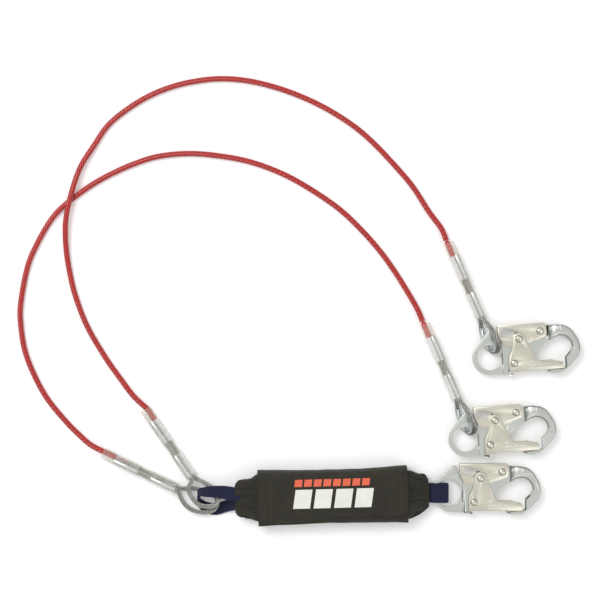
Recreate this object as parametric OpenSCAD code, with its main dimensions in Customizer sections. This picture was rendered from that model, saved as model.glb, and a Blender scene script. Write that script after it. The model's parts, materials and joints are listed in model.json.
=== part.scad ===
// Twin-leg shock absorbing lanyard, laid out flat on its back.
// Two vinyl-jacketed wire rope legs run from a webbing loop on the absorber pack to two
// self-locking snap hooks, and a third snap hook hangs on the pack's other webbing loop.
// Origin: middle of the footprint, on the surface the lanyard lies on. +X runs from the
// cable side to the hook side, +Y to the top of the legs' arcs, +Z away from the surface.

/* [Wire rope legs] */
// Diameter of the bare galvanised rope
rope_d = 5.6; // [5.4:0.1:5.8]
// Diameter of the rope over its vinyl jacket
jacket_d = 6.6; // [6.2:0.1:6.8]
// Distance from the loop's axis to each side of a hook-end rope eye
eye_half_w = 11.8; // [11.4:0.1:12]
// Length of a hook-end eye, from its ferrule to the middle of its round tip
eye_reach = 33.5; // [33:0.5:34]

/* [Ferrules and sleeves] */
// Length of one swaged ferrule
ferrule_len = 31; // [28:0.5:32]
// Bare rope left showing between a pair of ferrules
ferrule_gap = 18; // [16:0.5:20]
// Radius of a ferrule's rounded sides
ferrule_r = 4; // [3.9:0.1:4.1]
// Wall of the clear sleeve over the ferrules
sleeve_wall = 1.2; // [0.8:0.1:1.3]
// How far the sleeve runs out over the jacket
sleeve_mouth = 17; // [14:1:18]

/* [Thimbles] */
// Sheet thickness of a thimble
thimble_t = 0.6; // [0.5:0.1:0.8]

/* [Snap hooks] */
// Thickness of the forging between the plates
body_t = 10.4; // [10:0.1:10.5]
// Thickness of the forging at its nose
nose_t = 12; // [11:0.5:12.5]
// Thickness of the forging at its eye
eye_t = 5.6; // [5:0.1:6]
// Sheet thickness of the gate and the lock lever
plate_t = 1.2; // [1:0.1:1.3]
// Radius of the round eye on a leg hook
round_eye_r = 14.8; // [14.5:0.1:15]
// Radius of the rivet shanks
shank_r = 2.5; // [2.3:0.1:2.6]
// Radius of the rivet heads
head_r = 4.2; // [3.8:0.1:4.4]
// Height of the rivet heads
head_h = 1.8; // [1.4:0.1:2]

/* [Absorber pack] */
// Length of the printed outer wrap
wrap_len = 178; // [170:1:180]
// Width of the pack
pack_w = 65; // [62:0.5:68]
// Thickness of the pack
pack_h = 35; // [33:0.5:36]
// Thickness of the cover fabric
cover_t = 1.4; // [1:0.1:1.6]
// Length of the inner bag, with its gathered ends
bag_len = 217; // [214:1:218]
// Width of the tear webbing
tear_w = 44; // [40:1:46]
// Thickness of one ply of tear webbing
tear_t = 2.7; // [2.5:0.1:2.8]

/* [Webbing] */
// Width of the load-bearing webbing
strap_w = 27; // [25:0.5:28]
// Thickness of the load-bearing webbing
strap_t = 2.2; // [1.8:0.1:2.4]

/* [Hidden] */
$fn = 48;

steel = [0.76, 0.76, 0.70];
rope_r = rope_d / 2;
jacket_r = jacket_d / 2;
strand = rope_r + 0.1;                      // each rope's distance from a ferrule's axis
run = 0.05;                                 // radial clearance of a pin in its hole
fitting_len = 2 * ferrule_len + ferrule_gap; // both ferrules and the bare rope between them
sleeve_gap = 0.3;                           // play between a sleeve and its ferrules

// Snap hook, in its own frame: origin at the gate pivot, +X to the nose, +Y to the spine.
cross_pin = [7.9, 28.6];
lever_pivot = [33.7, 36.1];
round_eye = [-28.4, 8.4];
web_eye = [-31, 10.2];
web_eye_r = 16.4;
lever_half = body_t / 2 + 0.2;              // inside faces of the lever
gate_half = lever_half + plate_t + 0.2;     // inside faces of the gate
gate_out = gate_half + plate_t;             // outside faces of the gate
lever_out = lever_half + plate_t;
hook_z = 10.5;                              // height of each hook's middle plane

// Where each hook's gate pivot lies, and how far the hook is turned.
harness_hook_at = [159.7, -143.6];
leg_a_hook_at = [208, 22.3];
leg_b_hook_at = [179.3, -75.2];
leg_hook_turn = 4.5;

// A fitting's frame: where its inner ferrule ends, its heading, its rise and its roll.
leg_a_hook_end = [[168.5, 77.5, 11.7], -67, 1.97, 57];
leg_b_hook_end = [[140, -19.8, 11.7], -67, 1.97, 57];
leg_a_pack_end = [[-178.3, -113, 11.5], -55.1, 2.2, -50];
leg_b_pack_end = [[-197.5, -127.6, 9.5], -25.5, 1, -50];

// Pack frame: middle of the pack on the surface, and its turn.
pack_at = [-9, -136.5];
pack_turn = 1.5;
layers = 8;                                 // folded layers of tear webbing
layer_pitch = 3.1;
hinge_x = 107.2;                            // where the hook side loop bends, at the pack's mouth

// Routes of the two jacketed legs, from the pack-end ferrule to the hook-end sleeve.
leg_a_route = [
    [-248, -18, 4.2], [-264, 3, 3.5], [-283, 30, 3.4], [-304, 66, 3.4], [-318, 102, 3.4],
    [-325, 131, 3.8], [-329, 160, 6], [-329, 191, 9.6], [-323, 222, 10.8], [-312, 256, 8.4],
    [-296, 283, 4.6], [-278, 309, 3.4], [-252, 330, 3.4], [-226, 345, 3.4], [-200, 355, 3.4],
    [-174, 361, 3.4], [-145, 364, 3.4], [-114, 362, 3.4], [-82, 355, 3.4], [-50, 344, 3.4],
    [-18, 329, 3.4], [14, 309, 3.4], [38, 289, 3.4], [63, 263, 3.4], [87, 235, 3.6],
    [107, 204, 4.4]
];
leg_b_route = [
    [-300, -76, 5], [-314, -64, 3.8], [-329, -49, 3.4], [-352, -21, 3.4], [-368, 8, 3.4],
    [-379, 37, 3.4], [-384, 68, 3.4], [-384, 94, 3.4], [-376, 137, 3.4], [-364, 166, 3.4],
    [-347, 195, 3.4], [-330, 213, 3.4], [-302, 234, 3.4], [-276, 249, 3.4], [-244, 263, 3.4],
    [-216, 271, 3.4], [-180, 274, 3.4], [-144, 271, 3.4], [-108, 264, 3.4], [-72, 251, 3.4],
    [-40, 234, 3.4], [-3, 209, 3.4], [24, 184, 3.4], [48, 157, 3.4], [66, 132, 3.6],
    [81, 108, 4.4]
];

// Routes of the pack-end rope eyes round the webbing loop, past the inner ferrule.
leg_a_eye_route = [
    [-167, -118.5, 13], [-157, -123.5, 15.2], [-148.5, -130.5, 15.6], [-145, -139, 15.6],
    [-150, -147, 15.6], [-160, -149, 15.6], [-170, -146, 15.6], [-178, -137, 15.4],
    [-181, -127, 14.8]
];
leg_b_eye_route = [
    [-186, -128.4, 7.4], [-175, -128.4, 6.8], [-164, -130.2, 6.8], [-152, -136, 7.2],
    [-146.5, -145, 7.6], [-151, -153.4, 8], [-162, -156.8, 8.8], [-176, -154.5, 9.2],
    [-187, -146, 9.8]
];

// Middle line of the cable side webbing loop, then its width direction, width and thickness.
cable_loop_route = [
    [[-112, -135, 21.4], [0, 1, 0], 17, 3.4], [[-124, -134, 21.6], [0, 1, 0], 17, 3.4],
    [[-138, -131.5, 21.6], [0, 1, 0], 16, 3.4], [[-152, -130.5, 21.2], [0, 1, 0], 14, 3.4],
    [[-161, -131, 20.4], [0, 1, 0], 12, 3.4], [[-166.5, -131.6, 17], [0, 1, 0], 10, 3.6],
    [[-168.5, -133.6, 13.8], [0, 1, 0], 9, 3.6], [[-169, -138.4, 11], [0, 1, 0], 9, 3.4],
    [[-169.5, -142.6, 8], [0, 1, 0], 9, 3.6], [[-168, -145.6, 4.4], [0, 1, 0], 9, 3.4],
    [[-162, -151, 2.2], [0, 1, 0], 13, 3.2], [[-150, -154, 2], [-0.2, 1, 0], 14, 3.2],
    [[-136, -150, 3], [-0.3, 1, 0], 14, 3.2], [[-124, -146.5, 8.4], [0, 1, 0], 15, 3.2],
    [[-112, -145, 12.5], [0, 1, 0], 15, 3.2]
];

function unit(v) = v / norm(v);
function clamp(i, n) = max(0, min(n - 1, i));

// A point on the smooth curve through p0..p3, a share u of the way from p1 to p2.
function blend_point(p0, p1, p2, p3, u) =
    0.5 * (2 * p1 + (p2 - p0) * u + (2 * p0 - 5 * p1 + 4 * p2 - p3) * u * u
    + (3 * p1 - p0 - 3 * p2 + p3) * u * u * u);
function smooth(pts, steps) = [
    for (i = [0:len(pts) - 2], k = [0:steps - 1])
        blend_point(pts[clamp(i - 1, len(pts))], pts[i], pts[i + 1],
            pts[clamp(i + 2, len(pts))], k / steps),
    pts[len(pts) - 1]
];
function bezier(a, b, c, d, u) =
    a * pow(1 - u, 3) + b * 3 * u * pow(1 - u, 2) + c * 3 * u * u * (1 - u) + d * pow(u, 3);
function ring(r, sides) = [for (j = [0:sides - 1]) r * [cos(360 * j / sides), sin(360 * j / sides)]];
function heading(path, i) =
    unit(path[clamp(i + 1, len(path))] - path[clamp(i - 1, len(path))]);
function level_sides(path) = [for (i = [0:len(path) - 1]) cross(heading(path, i), [0, 0, 1])];

// A fitting's axes: along the leg, across the two ropes, and square to both.
function along(f) = [cos(f[1]) * cos(f[2]), sin(f[1]) * cos(f[2]), sin(f[2])];
function level_across(f) = unit(cross([0, 0, 1], along(f)));
function across(f) =
    cos(f[3]) * level_across(f) + sin(f[3]) * cross(along(f), level_across(f));
function on_fitting(f, p) =
    f[0] + p[0] * along(f) + p[1] * across(f) + p[2] * cross(along(f), across(f));

// A solid whose section, one ring of points a station, follows a path.
module sweep(path, sides, rings) {
    n = len(path);
    m = len(rings[0]);
    points = [
        for (i = [0:n - 1])
            let (t = heading(path, i), s = unit(sides[i] - (sides[i] * t) * t), b = cross(t, s))
                for (q = rings[i]) path[i] + q[0] * s + q[1] * b
    ];
    walls = [
        for (i = [0:n - 2], j = [0:m - 1], half = [0, 1])
            let (k = (j + 1) % m)
                half == 0 ? [i * m + j, (i + 1) * m + j, (i + 1) * m + k]
                : [i * m + j, (i + 1) * m + k, i * m + k]
    ];
    ends = [[for (j = [0:m - 1]) j], [for (j = [m - 1:-1:0]) (n - 1) * m + j]];
    polyhedron(points = points, faces = concat(ends, walls), convexity = 10);
}

module tube(path, r, sides) {
    sweep(path, level_sides(path), [for (p = path) ring(r, sides)]);
}

// ---- Snap hooks ----

module at_hook(place, turn) {
    translate([place[0], place[1], hook_z]) rotate([0, 0, turn]) children();
}

module slab(thickness) {
    translate([0, 0, -thickness / 2]) linear_extrude(thickness) children();
}

module drill(at, r, len = 40) {
    translate([at[0], at[1], -len / 2]) cylinder(r = r, h = len);
}

// Everything of the forging that both eye shapes share.
module forging_outline() {
    polygon([
        [-9.5, -8.4], [2, -8.4], [4.2, -7.5], [14.5, -2.5], [18, 3], [22.7, 10.8], [39.5, 21.8], [50.3, 27.2],
        [56.3, 28.8], [62, 27.8], [65.9, 25.4], [69.5, 20.6], [70.7, 14.6], [70.2, 11],
        [68.3, 8], [62.8, 2.6], [62.8, -8.6], [60.4, -10.9], [41.4, -11.4], [39.7, -12.8],
        [44, -14.9], [50.3, -15.7], [58, -14.4], [63.6, -10.2], [68.3, -6.4], [74.3, -0.4],
        [77.6, 3.4], [79.4, 7.4], [80.6, 14.6], [79.9, 19], [78.4, 24], [74.3, 31.4],
        [71.6, 35.4], [68.3, 38.6], [63, 41.2], [56, 42.4], [41, 42.4], [36, 42.8],
        [26, 41.4], [16.5, 34.5], [11.8, 24.8], [-11, 23.4], [-16.5, 27], [-19.2, 33.5],
        [-20.4, 43], [-24.4, 43.2], [-34, 34], [-40, 22], [-34, 5], [-26, -10],
        [-25.3, -11.4], [-12, -12.6], [-4.3, -14.8], [-1.3, -13.6], [-1.6, -12.7], [-8.4, -12.5]
    ]);
}

module round_eye_outline() {
    difference() {
        union() {
            forging_outline();
            translate(round_eye) circle(r = 20.5);
            polygon([[-44.4, 21.2], [-24.4, 43.2], [-20.4, 30], [-28, 5]]);
            polygon([[-30, -12], [-12, -12.6], [-8, 8], [-30, 0]]);
        }
        translate(round_eye) circle(r = round_eye_r);
    }
}

module web_eye_outline() {
    difference() {
        union() {
            forging_outline();
            polygon([
                [-24.4, 43.2], [-45.7, 24.7], [-47, 22.5], [-47, -2], [-43.3, -5.2],
                [-33.7, -11.8], [-12, -12.6], [-8, 8]
            ]);
        }
        intersection() {
            translate(web_eye) circle(r = web_eye_r);
            translate([-41.5, -20]) square([60, 60]);
        }
        translate([-41.5, -1.4]) square([10, 23.6]);
    }
}

// The forging: a thin eye, a thicker middle between the plates and a full nose.
module forging() {
    color(steel)
    difference() {
        union() {
            slab(eye_t) intersection() {
                children();
                translate([-60, -30]) square([50, 90]);
            }
            slab(body_t) intersection() {
                children();
                translate([-13, -30]) square([57, 90]);
            }
            slab(nose_t) intersection() {
                children();
                translate([43.5, -30]) square([60, 90]);
            }
            slab(body_t) polygon([[-12, -12.6], [-4.3, -14.8], [-1.3, -13.6], [-1.6, -12.7],
                [-8.4, -12.5], [-9.5, -8.4], [-12, -8.4]]);
        }
        drill([0, 0], shank_r + run);
        drill(lever_pivot, shank_r + run);
        // Pockets for the two torsion springs, open on the side their legs come out of.
        drill([0, 0], 7.2, 6);
        translate([-13.5, -1, -3]) cube([13, 14, 6]);
        drill(lever_pivot, 6.3, 5.2);
        translate([25, 36, -2.6]) cube([9, 12, 5.2]);
    }
}

// Stamped gate: two cheeks joined by a web along the mouth of the hook.
module gate_cheek_outline() {
    union() {
        translate(cross_pin) circle(r = 7.4);
        polygon([
            [0.6, 27.5], [-1.6, 16], [-5.5, 8.6], [-6.7, 2], [-6.7, -10.2], [58, -10.2],
            [58, -3], [56.6, -2.2], [54.5, -1.9], [46.7, 0.5], [31, 0.8], [27.4, 2.4],
            [24.6, 5.6], [22.7, 10.8], [14.8, 31]
        ]);
    }
}

module gate() {
    color(steel)
    difference() {
        slab(2 * gate_out) gate_cheek_outline();
        translate([-20, -10.2 + plate_t, -gate_half]) cube([100, 60, 2 * gate_half]);
        drill([0, 0], shank_r + run);
        drill(cross_pin, shank_r + run);
    }
}

// Slot that lets the gate's cross pin travel only while the lever is pressed.
module lever_slot_outline() {
    translate([-9.7, 37.4]) circle(r = 5.4);
    translate(cross_pin) circle(r = shank_r + 0.7);
    polygon([
        [-9.7, 42.8], [-2, 41.6], [4, 38.6], [8.5, 35.4], [11.1, 31.8], [11.1, 28.6],
        [5.6, 26.3], [-4.5, 31.6], [-9.7, 32]
    ]);
}

module lock_lever() {
    color(steel)
    difference() {
        slab(2 * lever_out) polygon([
            [-16.4, 45.6], [39.2, 45.6], [41.3, 42], [41.3, 32.6], [40.2, 30.1], [20, 23],
            [14, 20.4], [9, 19.8], [-9.6, 19.8], [-11.4, 22.5], [-14.6, 29], [-16.6, 36]
        ]);
        translate([-30, 0, -lever_half]) cube([90, 45.6 - plate_t, 2 * lever_half]);
        slab(40) lever_slot_outline();
        drill(lever_pivot, shank_r + run);
    }
}

// Rivet with a domed head on each side, its heads just clear of the plates it holds.
module rivet(at, face) {
    color([0.82, 0.82, 0.78])
    translate([at[0], at[1], 0])
    union() {
        cylinder(r = shank_r, h = 2 * face + 2 * head_h - 1, center = true);
        for (side = [0, 1]) mirror([0, 0, side]) translate([0, 0, face + 0.08]) rivet_head();
    }
}

module rivet_head() {
    cap_h = head_h - 0.08;
    rotate_extrude() polygon([
        [0, 0], [head_r, 0], [head_r, cap_h * 0.35], [head_r * 0.86, cap_h * 0.7],
        [head_r * 0.55, cap_h], [head_r * 0.3, cap_h * 0.8], [0, cap_h * 0.7]
    ]);
}

// Torsion spring round a rivet: coils, then a straight leg off each end.
module torsion_spring(at, coil_r, wire_r, half, turns, leg_in, leg_out) {
    steps = 14;
    total = turns * steps;
    coil = [
        for (i = [0:total])
            let (a = leg_in[0] + 360 * turns * i / total)
                [at[0] + coil_r * cos(a), at[1] + coil_r * sin(a), -half + 2 * half * i / total]
    ];
    first = coil[0] + leg_in[1] * [sin(leg_in[0]), -cos(leg_in[0]), 0];
    last_a = leg_in[0] + 360 * turns;
    last = coil[total] + leg_out * [-sin(last_a), cos(last_a), 0];
    color([0.62, 0.62, 0.6]) tube_square(concat([first], coil, [last]), wire_r);
}

module tube_square(path, r) {
    sweep(path, [for (p = path) [0, 0, 1]], [for (p = path) ring(r, 8)]);
}

module gate_spring() {
    torsion_spring([0, 0], 4.4, 0.65, 2.1, 3.25, [200, 6], 6);
}

module lever_spring() {
    torsion_spring(lever_pivot, 4, 0.5, 1.7, 3.5, [150, 5], 4);
}

// ---- Leg fittings ----

module at_fitting(f) {
    a = along(f);
    b = across(f);
    c = cross(a, b);
    o = f[0];
    multmatrix([
        [a[0], b[0], c[0], o[0]], [a[1], b[1], c[1], o[1]], [a[2], b[2], c[2], o[2]],
        [0, 0, 0, 1]
    ]) children();
}

// Two round sides joined by flats, extruded along the leg from x0 for a length.
module oval_bar(x0, length, r) {
    translate([x0, 0, 0]) rotate([90, 0, 90]) linear_extrude(length) {
        for (y = [-strand, strand]) translate([y, 0]) circle(r = r);
        square([2 * strand, 2 * r], center = true);
    }
}

module ferrules() {
    color([0.86, 0.87, 0.88])
    difference() {
        for (x = [-ferrule_len, -fitting_len]) oval_bar(x, ferrule_len, ferrule_r);
        for (y = [-strand, strand])
            translate([-fitting_len - 1, y, 0]) rotate([0, 90, 0])
                cylinder(r = rope_r + run, h = fitting_len + 2);
    }
}

module sleeve() {
    inner = ferrule_r + sleeve_gap;
    color([0.86, 0.86, 0.74, 0.45])
    difference() {
        oval_bar(-fitting_len - sleeve_mouth, fitting_len + sleeve_mouth + 4, inner + sleeve_wall);
        oval_bar(-fitting_len - sleeve_mouth - 1, fitting_len + sleeve_mouth + 6, inner);
    }
}

// One side of the hook-end eye, from its ferrule out to the round tip.
function eye_side(side, steps) = [
    for (i = [0:steps])
        bezier([0, strand * side, 0], [8, strand * side, 0], [14, eye_half_w * side, 0],
            [27, eye_half_w * side, 0], i / steps)
];
function eye_tip(steps) = [
    for (i = [0:steps])
        let (a = 90 - 180 * i / steps)
            [eye_reach + eye_half_w * cos(a), eye_half_w * sin(a), 0]
];
function reversed(list) = [for (i = [len(list) - 1:-1:0]) list[i]];
function hook_eye_path() = concat(
    [[-fitting_len, strand, 0], [-fitting_len / 2, strand, 0], [-3, strand, 0]],
    eye_side(1, 6), eye_tip(8), reversed(eye_side(-1, 6)),
    [[-3, -strand, 0], [-fitting_len / 2, -strand, 0], [-fitting_len, -strand, 0]]
);
function thimble_path() = concat(
    [for (i = [3:6]) eye_side(1, 6)[i]], eye_tip(10), [for (i = [6:-1:3]) eye_side(-1, 6)[i]]
);
function flat_sides(path) = [for (p = path) [0, 0, 1]];
// The thimble's line moved a distance towards the middle of the eye.
function inset(path, d) = [
    for (i = [0:len(path) - 1])
        let (h = heading(path, i)) [path[i][0] + d * h[1], path[i][1] - d * h[0]]
];
module band(d0, d1, z0, z1) {
    path = thimble_path();
    translate([0, 0, z0]) linear_extrude(z1 - z0)
        polygon(concat(inset(path, d0), reversed(inset(path, d1))));
}

module hook_eye_rope() {
    path = hook_eye_path();
    color([0.70, 0.70, 0.66]) sweep(path, flat_sides(path), [for (p = path) ring(rope_r, 10)]);
}

// A channel of sheet round the rope: a floor inside its bend, and steps up the rope's
// side to a flange on each face. A step's near, far, low and high edges are from rope_r.
module thimble() {
    floor_at = rope_r + 0.1;
    steps = [[-0.37, 0.18, -1.4, -0.68], [-0.8, -0.3, -0.8, -0.04], [-2.2, -0.75, -0.1, 0.29]];
    color([0.80, 0.81, 0.78]) union() {
        band(floor_at, floor_at + thimble_t, -1.5, 1.5);
        for (side = [0, 1]) mirror([0, 0, side])
            for (step = steps)
                band(rope_r + step[0], rope_r + step[1], rope_r + step[2], rope_r + step[3]);
    }
}

// The jacket's last stretch, inside the sleeve, with a round end where the cable bends.
module cable_end() {
    color([0.78, 0.12, 0.14])
    translate([-fitting_len - sleeve_mouth, -strand, 0]) union() {
        sphere(r = jacket_r);
        rotate([0, 90, 0]) cylinder(r = jacket_r, h = sleeve_mouth);
    }
}

// Eye at the pack: straight through both ferrules, round the webbing loop and back.
function pack_eye_path(f, route) = smooth(concat(
    [for (x = [-fitting_len, -54, -27, 0, 4.5]) on_fitting(f, [x, strand, 0])],
    route,
    [for (x = [4.5, 0, -27, -54, -fitting_len]) on_fitting(f, [x, -strand, 0])]
), 2);

module pack_eye_rope(f, route) {
    color([0.70, 0.70, 0.66]) tube(pack_eye_path(f, route), rope_r, 10);
}

// Jacketed cable from one fitting to the other.
module cable(pack_end, route, hook_end) {
    mouth = -fitting_len - sleeve_mouth;
    path = smooth(concat(
        [for (x = [-fitting_len - 0.1, -fitting_len - 6, mouth]) on_fitting(pack_end, [x, strand, 0])],
        route,
        [for (x = [mouth - 20, mouth - jacket_r - 0.3]) on_fitting(hook_end, [x, -strand, 0])]
    ), 2);
    color([0.80, 0.12, 0.14]) tube(path, jacket_r, 10);
}

// ---- Absorber pack ----

module at_pack() {
    translate([pack_at[0], pack_at[1], 0]) rotate([0, 0, pack_turn]) children();
}

module rounded_bar(length, w, h, r) {
    translate([-length / 2, 0, 0]) rotate([90, 0, 90]) linear_extrude(length) {
        for (y = [r - w / 2, w / 2 - r], z = [r, h - r]) translate([y, z]) circle(r = r);
        translate([-w / 2, r]) square([w, h - 2 * r]);
        translate([r - w / 2, 0]) square([w - 2 * r, h]);
    }
}

module outer_wrap() {
    color([0.20, 0.18, 0.14])
    at_pack() difference() {
        rounded_bar(wrap_len, pack_w, pack_h, 9);
        translate([0, 0, cover_t]) rounded_bar(wrap_len + 2, pack_w - 2 * cover_t,
            pack_h - 2 * cover_t, 9 - cover_t);
        // Room for the two closure strips inside the underside flap.
        translate([-70, -12, -1]) cube([140, 24, 1 + 0.9]);
    }
}

module wrap_closure_strips() {
    color([0.12, 0.12, 0.12]) at_pack() {
        translate([-69.5, -11.5, 0.05]) cube([139, 11, 0.8]);
        translate([-69.5, 0.5, 0.05]) cube([139, 11, 0.8]);
    }
}

// Side view and top view of the bag, whose ends are gathered in round the webbing.
module bag_block(inset) {
    gap = cover_t + 0.4;
    half = bag_len / 2 - inset;
    w = pack_w / 2 - gap - inset;
    top = pack_h - gap - inset;
    low = gap + inset;
    shoulder = wrap_len / 2 - inset;
    mouth_w = 17 - inset;
    intersection() {
        linear_extrude(60) polygon([
            [-half, -mouth_w], [-half, mouth_w], [-shoulder, w], [shoulder, w],
            [half, mouth_w], [half, -mouth_w], [shoulder, -w], [-shoulder, -w]
        ]);
        rotate([90, 0, 0]) translate([0, 0, -50]) linear_extrude(100) polygon([
            [-half, 6 + inset], [-half, 26 - inset], [-shoulder, top], [shoulder, top],
            [half, 20 - inset], [half, 2 + inset], [shoulder, low], [-shoulder, low]
        ]);
        translate([0, 0, low]) rounded_bar(2 * half, 2 * w, top - low, 7);
    }
}

module inner_bag() {
    color([0.24, 0.22, 0.17])
    at_pack() difference() {
        translate([-3, 0, 0]) bag_block(0);
        translate([-3, 0, 0]) bag_block(cover_t);
        // Mouths that the two webbing loops come out of.
        translate([-130, -15.4, 7.4]) cube([30, 30.8, 17.2]);
        translate([100, -14.5, 6.4]) cube([30, 29, 7.4]);
    }
}

// Tear webbing folded back and forth: flat layers joined by half-round turns.
module tear_webbing() {
    length = 150;
    color([0.88, 0.82, 0.55])
    at_pack() translate([-2, tear_w / 2, 5.3]) rotate([90, 0, 0]) linear_extrude(tear_w) {
        for (i = [0:layers - 1])
            translate([-length / 2, i * layer_pitch]) square([length, tear_t]);
        for (i = [0:layers - 2])
            translate([(i % 2 == 0 ? 1 : -1) * length / 2, (i + 0.5) * layer_pitch + tear_t / 2])
                mirror([i % 2, 0]) half_turn(layer_pitch / 2 + tear_t / 2);
    }
}

module half_turn(r) {
    difference() {
        circle(r = r);
        circle(r = max(r - tear_t, 0.15));
        translate([-2 * r, -2 * r]) square([2 * r, 4 * r]);
    }
}

// The full-strength strap that joins the two loops once the tear webbing has run out.
module backup_strap() {
    color([0.12, 0.13, 0.25])
    at_pack() translate([0, strap_w / 2, 0]) rotate([90, 0, 0]) linear_extrude(strap_w)
        polygon([
            [-88, 3.4], [88, 3.4], [94, 9], [112, 9], [112, 11.2], [93, 11.2],
            [86.5, 5], [-86.5, 5], [-90, 12.6], [-95, 14.4], [-95, 12.4], [-91.6, 11.4]
        ]);
}

module label_booklet() {
    color([0.93, 0.93, 0.90]) at_pack() translate([-35, -22, 30.2])
        cube([70, 44, 1.2]);
}

module cable_side_loop() {
    smoothed = smooth([for (s = cable_loop_route) s[0]], 2);
    sides = smooth([for (s = cable_loop_route) s[1]], 2);
    sizes = smooth([for (s = cable_loop_route) [s[2], s[3]]], 2);
    color([0.13, 0.14, 0.27])
    sweep(smoothed, sides, [
        for (z = sizes) [
            [z[0] / 2, -z[1] / 2], [z[0] / 2, z[1] / 2], [-z[0] / 2, z[1] / 2],
            [-z[0] / 2, -z[1] / 2]
        ]
    ]);
}

// Webbing loop through the harness hook's eye: a round root at the bend, two layers
// over and under the eye's straight bar, and the fold beyond it.
module hook_side_loop() {
    w = 22.8;
    layer_in = eye_t / 2 + 0.5;
    fold_x = harness_hook_at[0] - 31.2;
    color([0.13, 0.14, 0.27])
    translate([0, harness_hook_at[1] + 10.4 + w / 2, hook_z]) rotate([90, 0, 0])
        linear_extrude(w) difference() {
            union() {
                translate([hinge_x, 0]) circle(r = 2.3);
                polygon([
                    [hinge_x, -2.3], [hinge_x + 3.6, -layer_in - strap_t],
                    [fold_x - 4, -layer_in - strap_t], [fold_x - 4, layer_in + strap_t],
                    [hinge_x + 3.6, layer_in + strap_t], [hinge_x, 2.3]
                ]);
                translate([fold_x - 4, 0]) circle(r = layer_in + strap_t);
            }
            translate([hinge_x + 4.6, -layer_in]) square([fold_x - hinge_x - 8.6, 2 * layer_in]);
            translate([fold_x - 4, 0]) circle(r = layer_in);
        }
}

at_hook(harness_hook_at, 0) forging() web_eye_outline();  // harness_hook_body
at_hook(harness_hook_at, 0) gate();  // harness_hook_gate
at_hook(harness_hook_at, 0) lock_lever();  // harness_hook_lock_lever
at_hook(harness_hook_at, 0) rivet([0, 0], gate_out);  // harness_hook_gate_pivot
at_hook(harness_hook_at, 0) rivet(cross_pin, gate_out);  // harness_hook_gate_cross_pin
at_hook(harness_hook_at, 0) rivet(lever_pivot, lever_out);  // harness_hook_lever_pivot
at_hook(harness_hook_at, 0) gate_spring();  // harness_hook_gate_spring
at_hook(harness_hook_at, 0) lever_spring();  // harness_hook_lever_spring

at_hook(leg_a_hook_at, leg_hook_turn) forging() round_eye_outline();  // leg_a_hook_body
at_hook(leg_a_hook_at, leg_hook_turn) gate();  // leg_a_hook_gate
at_hook(leg_a_hook_at, leg_hook_turn) lock_lever();  // leg_a_hook_lock_lever
at_hook(leg_a_hook_at, leg_hook_turn) rivet([0, 0], gate_out);  // leg_a_hook_gate_pivot
at_hook(leg_a_hook_at, leg_hook_turn) rivet(cross_pin, gate_out);  // leg_a_hook_gate_cross_pin
at_hook(leg_a_hook_at, leg_hook_turn) rivet(lever_pivot, lever_out);  // leg_a_hook_lever_pivot
at_hook(leg_a_hook_at, leg_hook_turn) gate_spring();  // leg_a_hook_gate_spring
at_hook(leg_a_hook_at, leg_hook_turn) lever_spring();  // leg_a_hook_lever_spring

at_hook(leg_b_hook_at, leg_hook_turn) forging() round_eye_outline();  // leg_b_hook_body
at_hook(leg_b_hook_at, leg_hook_turn) gate();  // leg_b_hook_gate
at_hook(leg_b_hook_at, leg_hook_turn) lock_lever();  // leg_b_hook_lock_lever
at_hook(leg_b_hook_at, leg_hook_turn) rivet([0, 0], gate_out);  // leg_b_hook_gate_pivot
at_hook(leg_b_hook_at, leg_hook_turn) rivet(cross_pin, gate_out);  // leg_b_hook_gate_cross_pin
at_hook(leg_b_hook_at, leg_hook_turn) rivet(lever_pivot, lever_out);  // leg_b_hook_lever_pivot
at_hook(leg_b_hook_at, leg_hook_turn) gate_spring();  // leg_b_hook_gate_spring
at_hook(leg_b_hook_at, leg_hook_turn) lever_spring();  // leg_b_hook_lever_spring

cable(leg_a_pack_end, leg_a_route, leg_a_hook_end);  // leg_a_cable
at_fitting(leg_a_hook_end) cable_end();  // leg_a_cable_end
at_fitting(leg_a_hook_end) hook_eye_rope();  // leg_a_hook_eye_rope
at_fitting(leg_a_hook_end) thimble();  // leg_a_thimble
at_fitting(leg_a_hook_end) ferrules();  // leg_a_hook_end_ferrules
at_fitting(leg_a_hook_end) sleeve();  // leg_a_hook_end_sleeve
pack_eye_rope(leg_a_pack_end, leg_a_eye_route);  // leg_a_pack_eye_rope
at_fitting(leg_a_pack_end) ferrules();  // leg_a_pack_end_ferrules
at_fitting(leg_a_pack_end) sleeve();  // leg_a_pack_end_sleeve

cable(leg_b_pack_end, leg_b_route, leg_b_hook_end);  // leg_b_cable
at_fitting(leg_b_hook_end) cable_end();  // leg_b_cable_end
at_fitting(leg_b_hook_end) hook_eye_rope();  // leg_b_hook_eye_rope
at_fitting(leg_b_hook_end) thimble();  // leg_b_thimble
at_fitting(leg_b_hook_end) ferrules();  // leg_b_hook_end_ferrules
at_fitting(leg_b_hook_end) sleeve();  // leg_b_hook_end_sleeve
pack_eye_rope(leg_b_pack_end, leg_b_eye_route);  // leg_b_pack_eye_rope
at_fitting(leg_b_pack_end) ferrules();  // leg_b_pack_end_ferrules
at_fitting(leg_b_pack_end) sleeve();  // leg_b_pack_end_sleeve

outer_wrap();
wrap_closure_strips();
inner_bag();
tear_webbing();
backup_strap();
label_booklet();
cable_side_loop();
hook_side_loop();
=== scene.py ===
"""Looks of a twin-leg shock absorbing lanyard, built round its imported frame."""
import json
import math

import bmesh
import bpy
from mathutils import Matrix, Vector, noise


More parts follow.
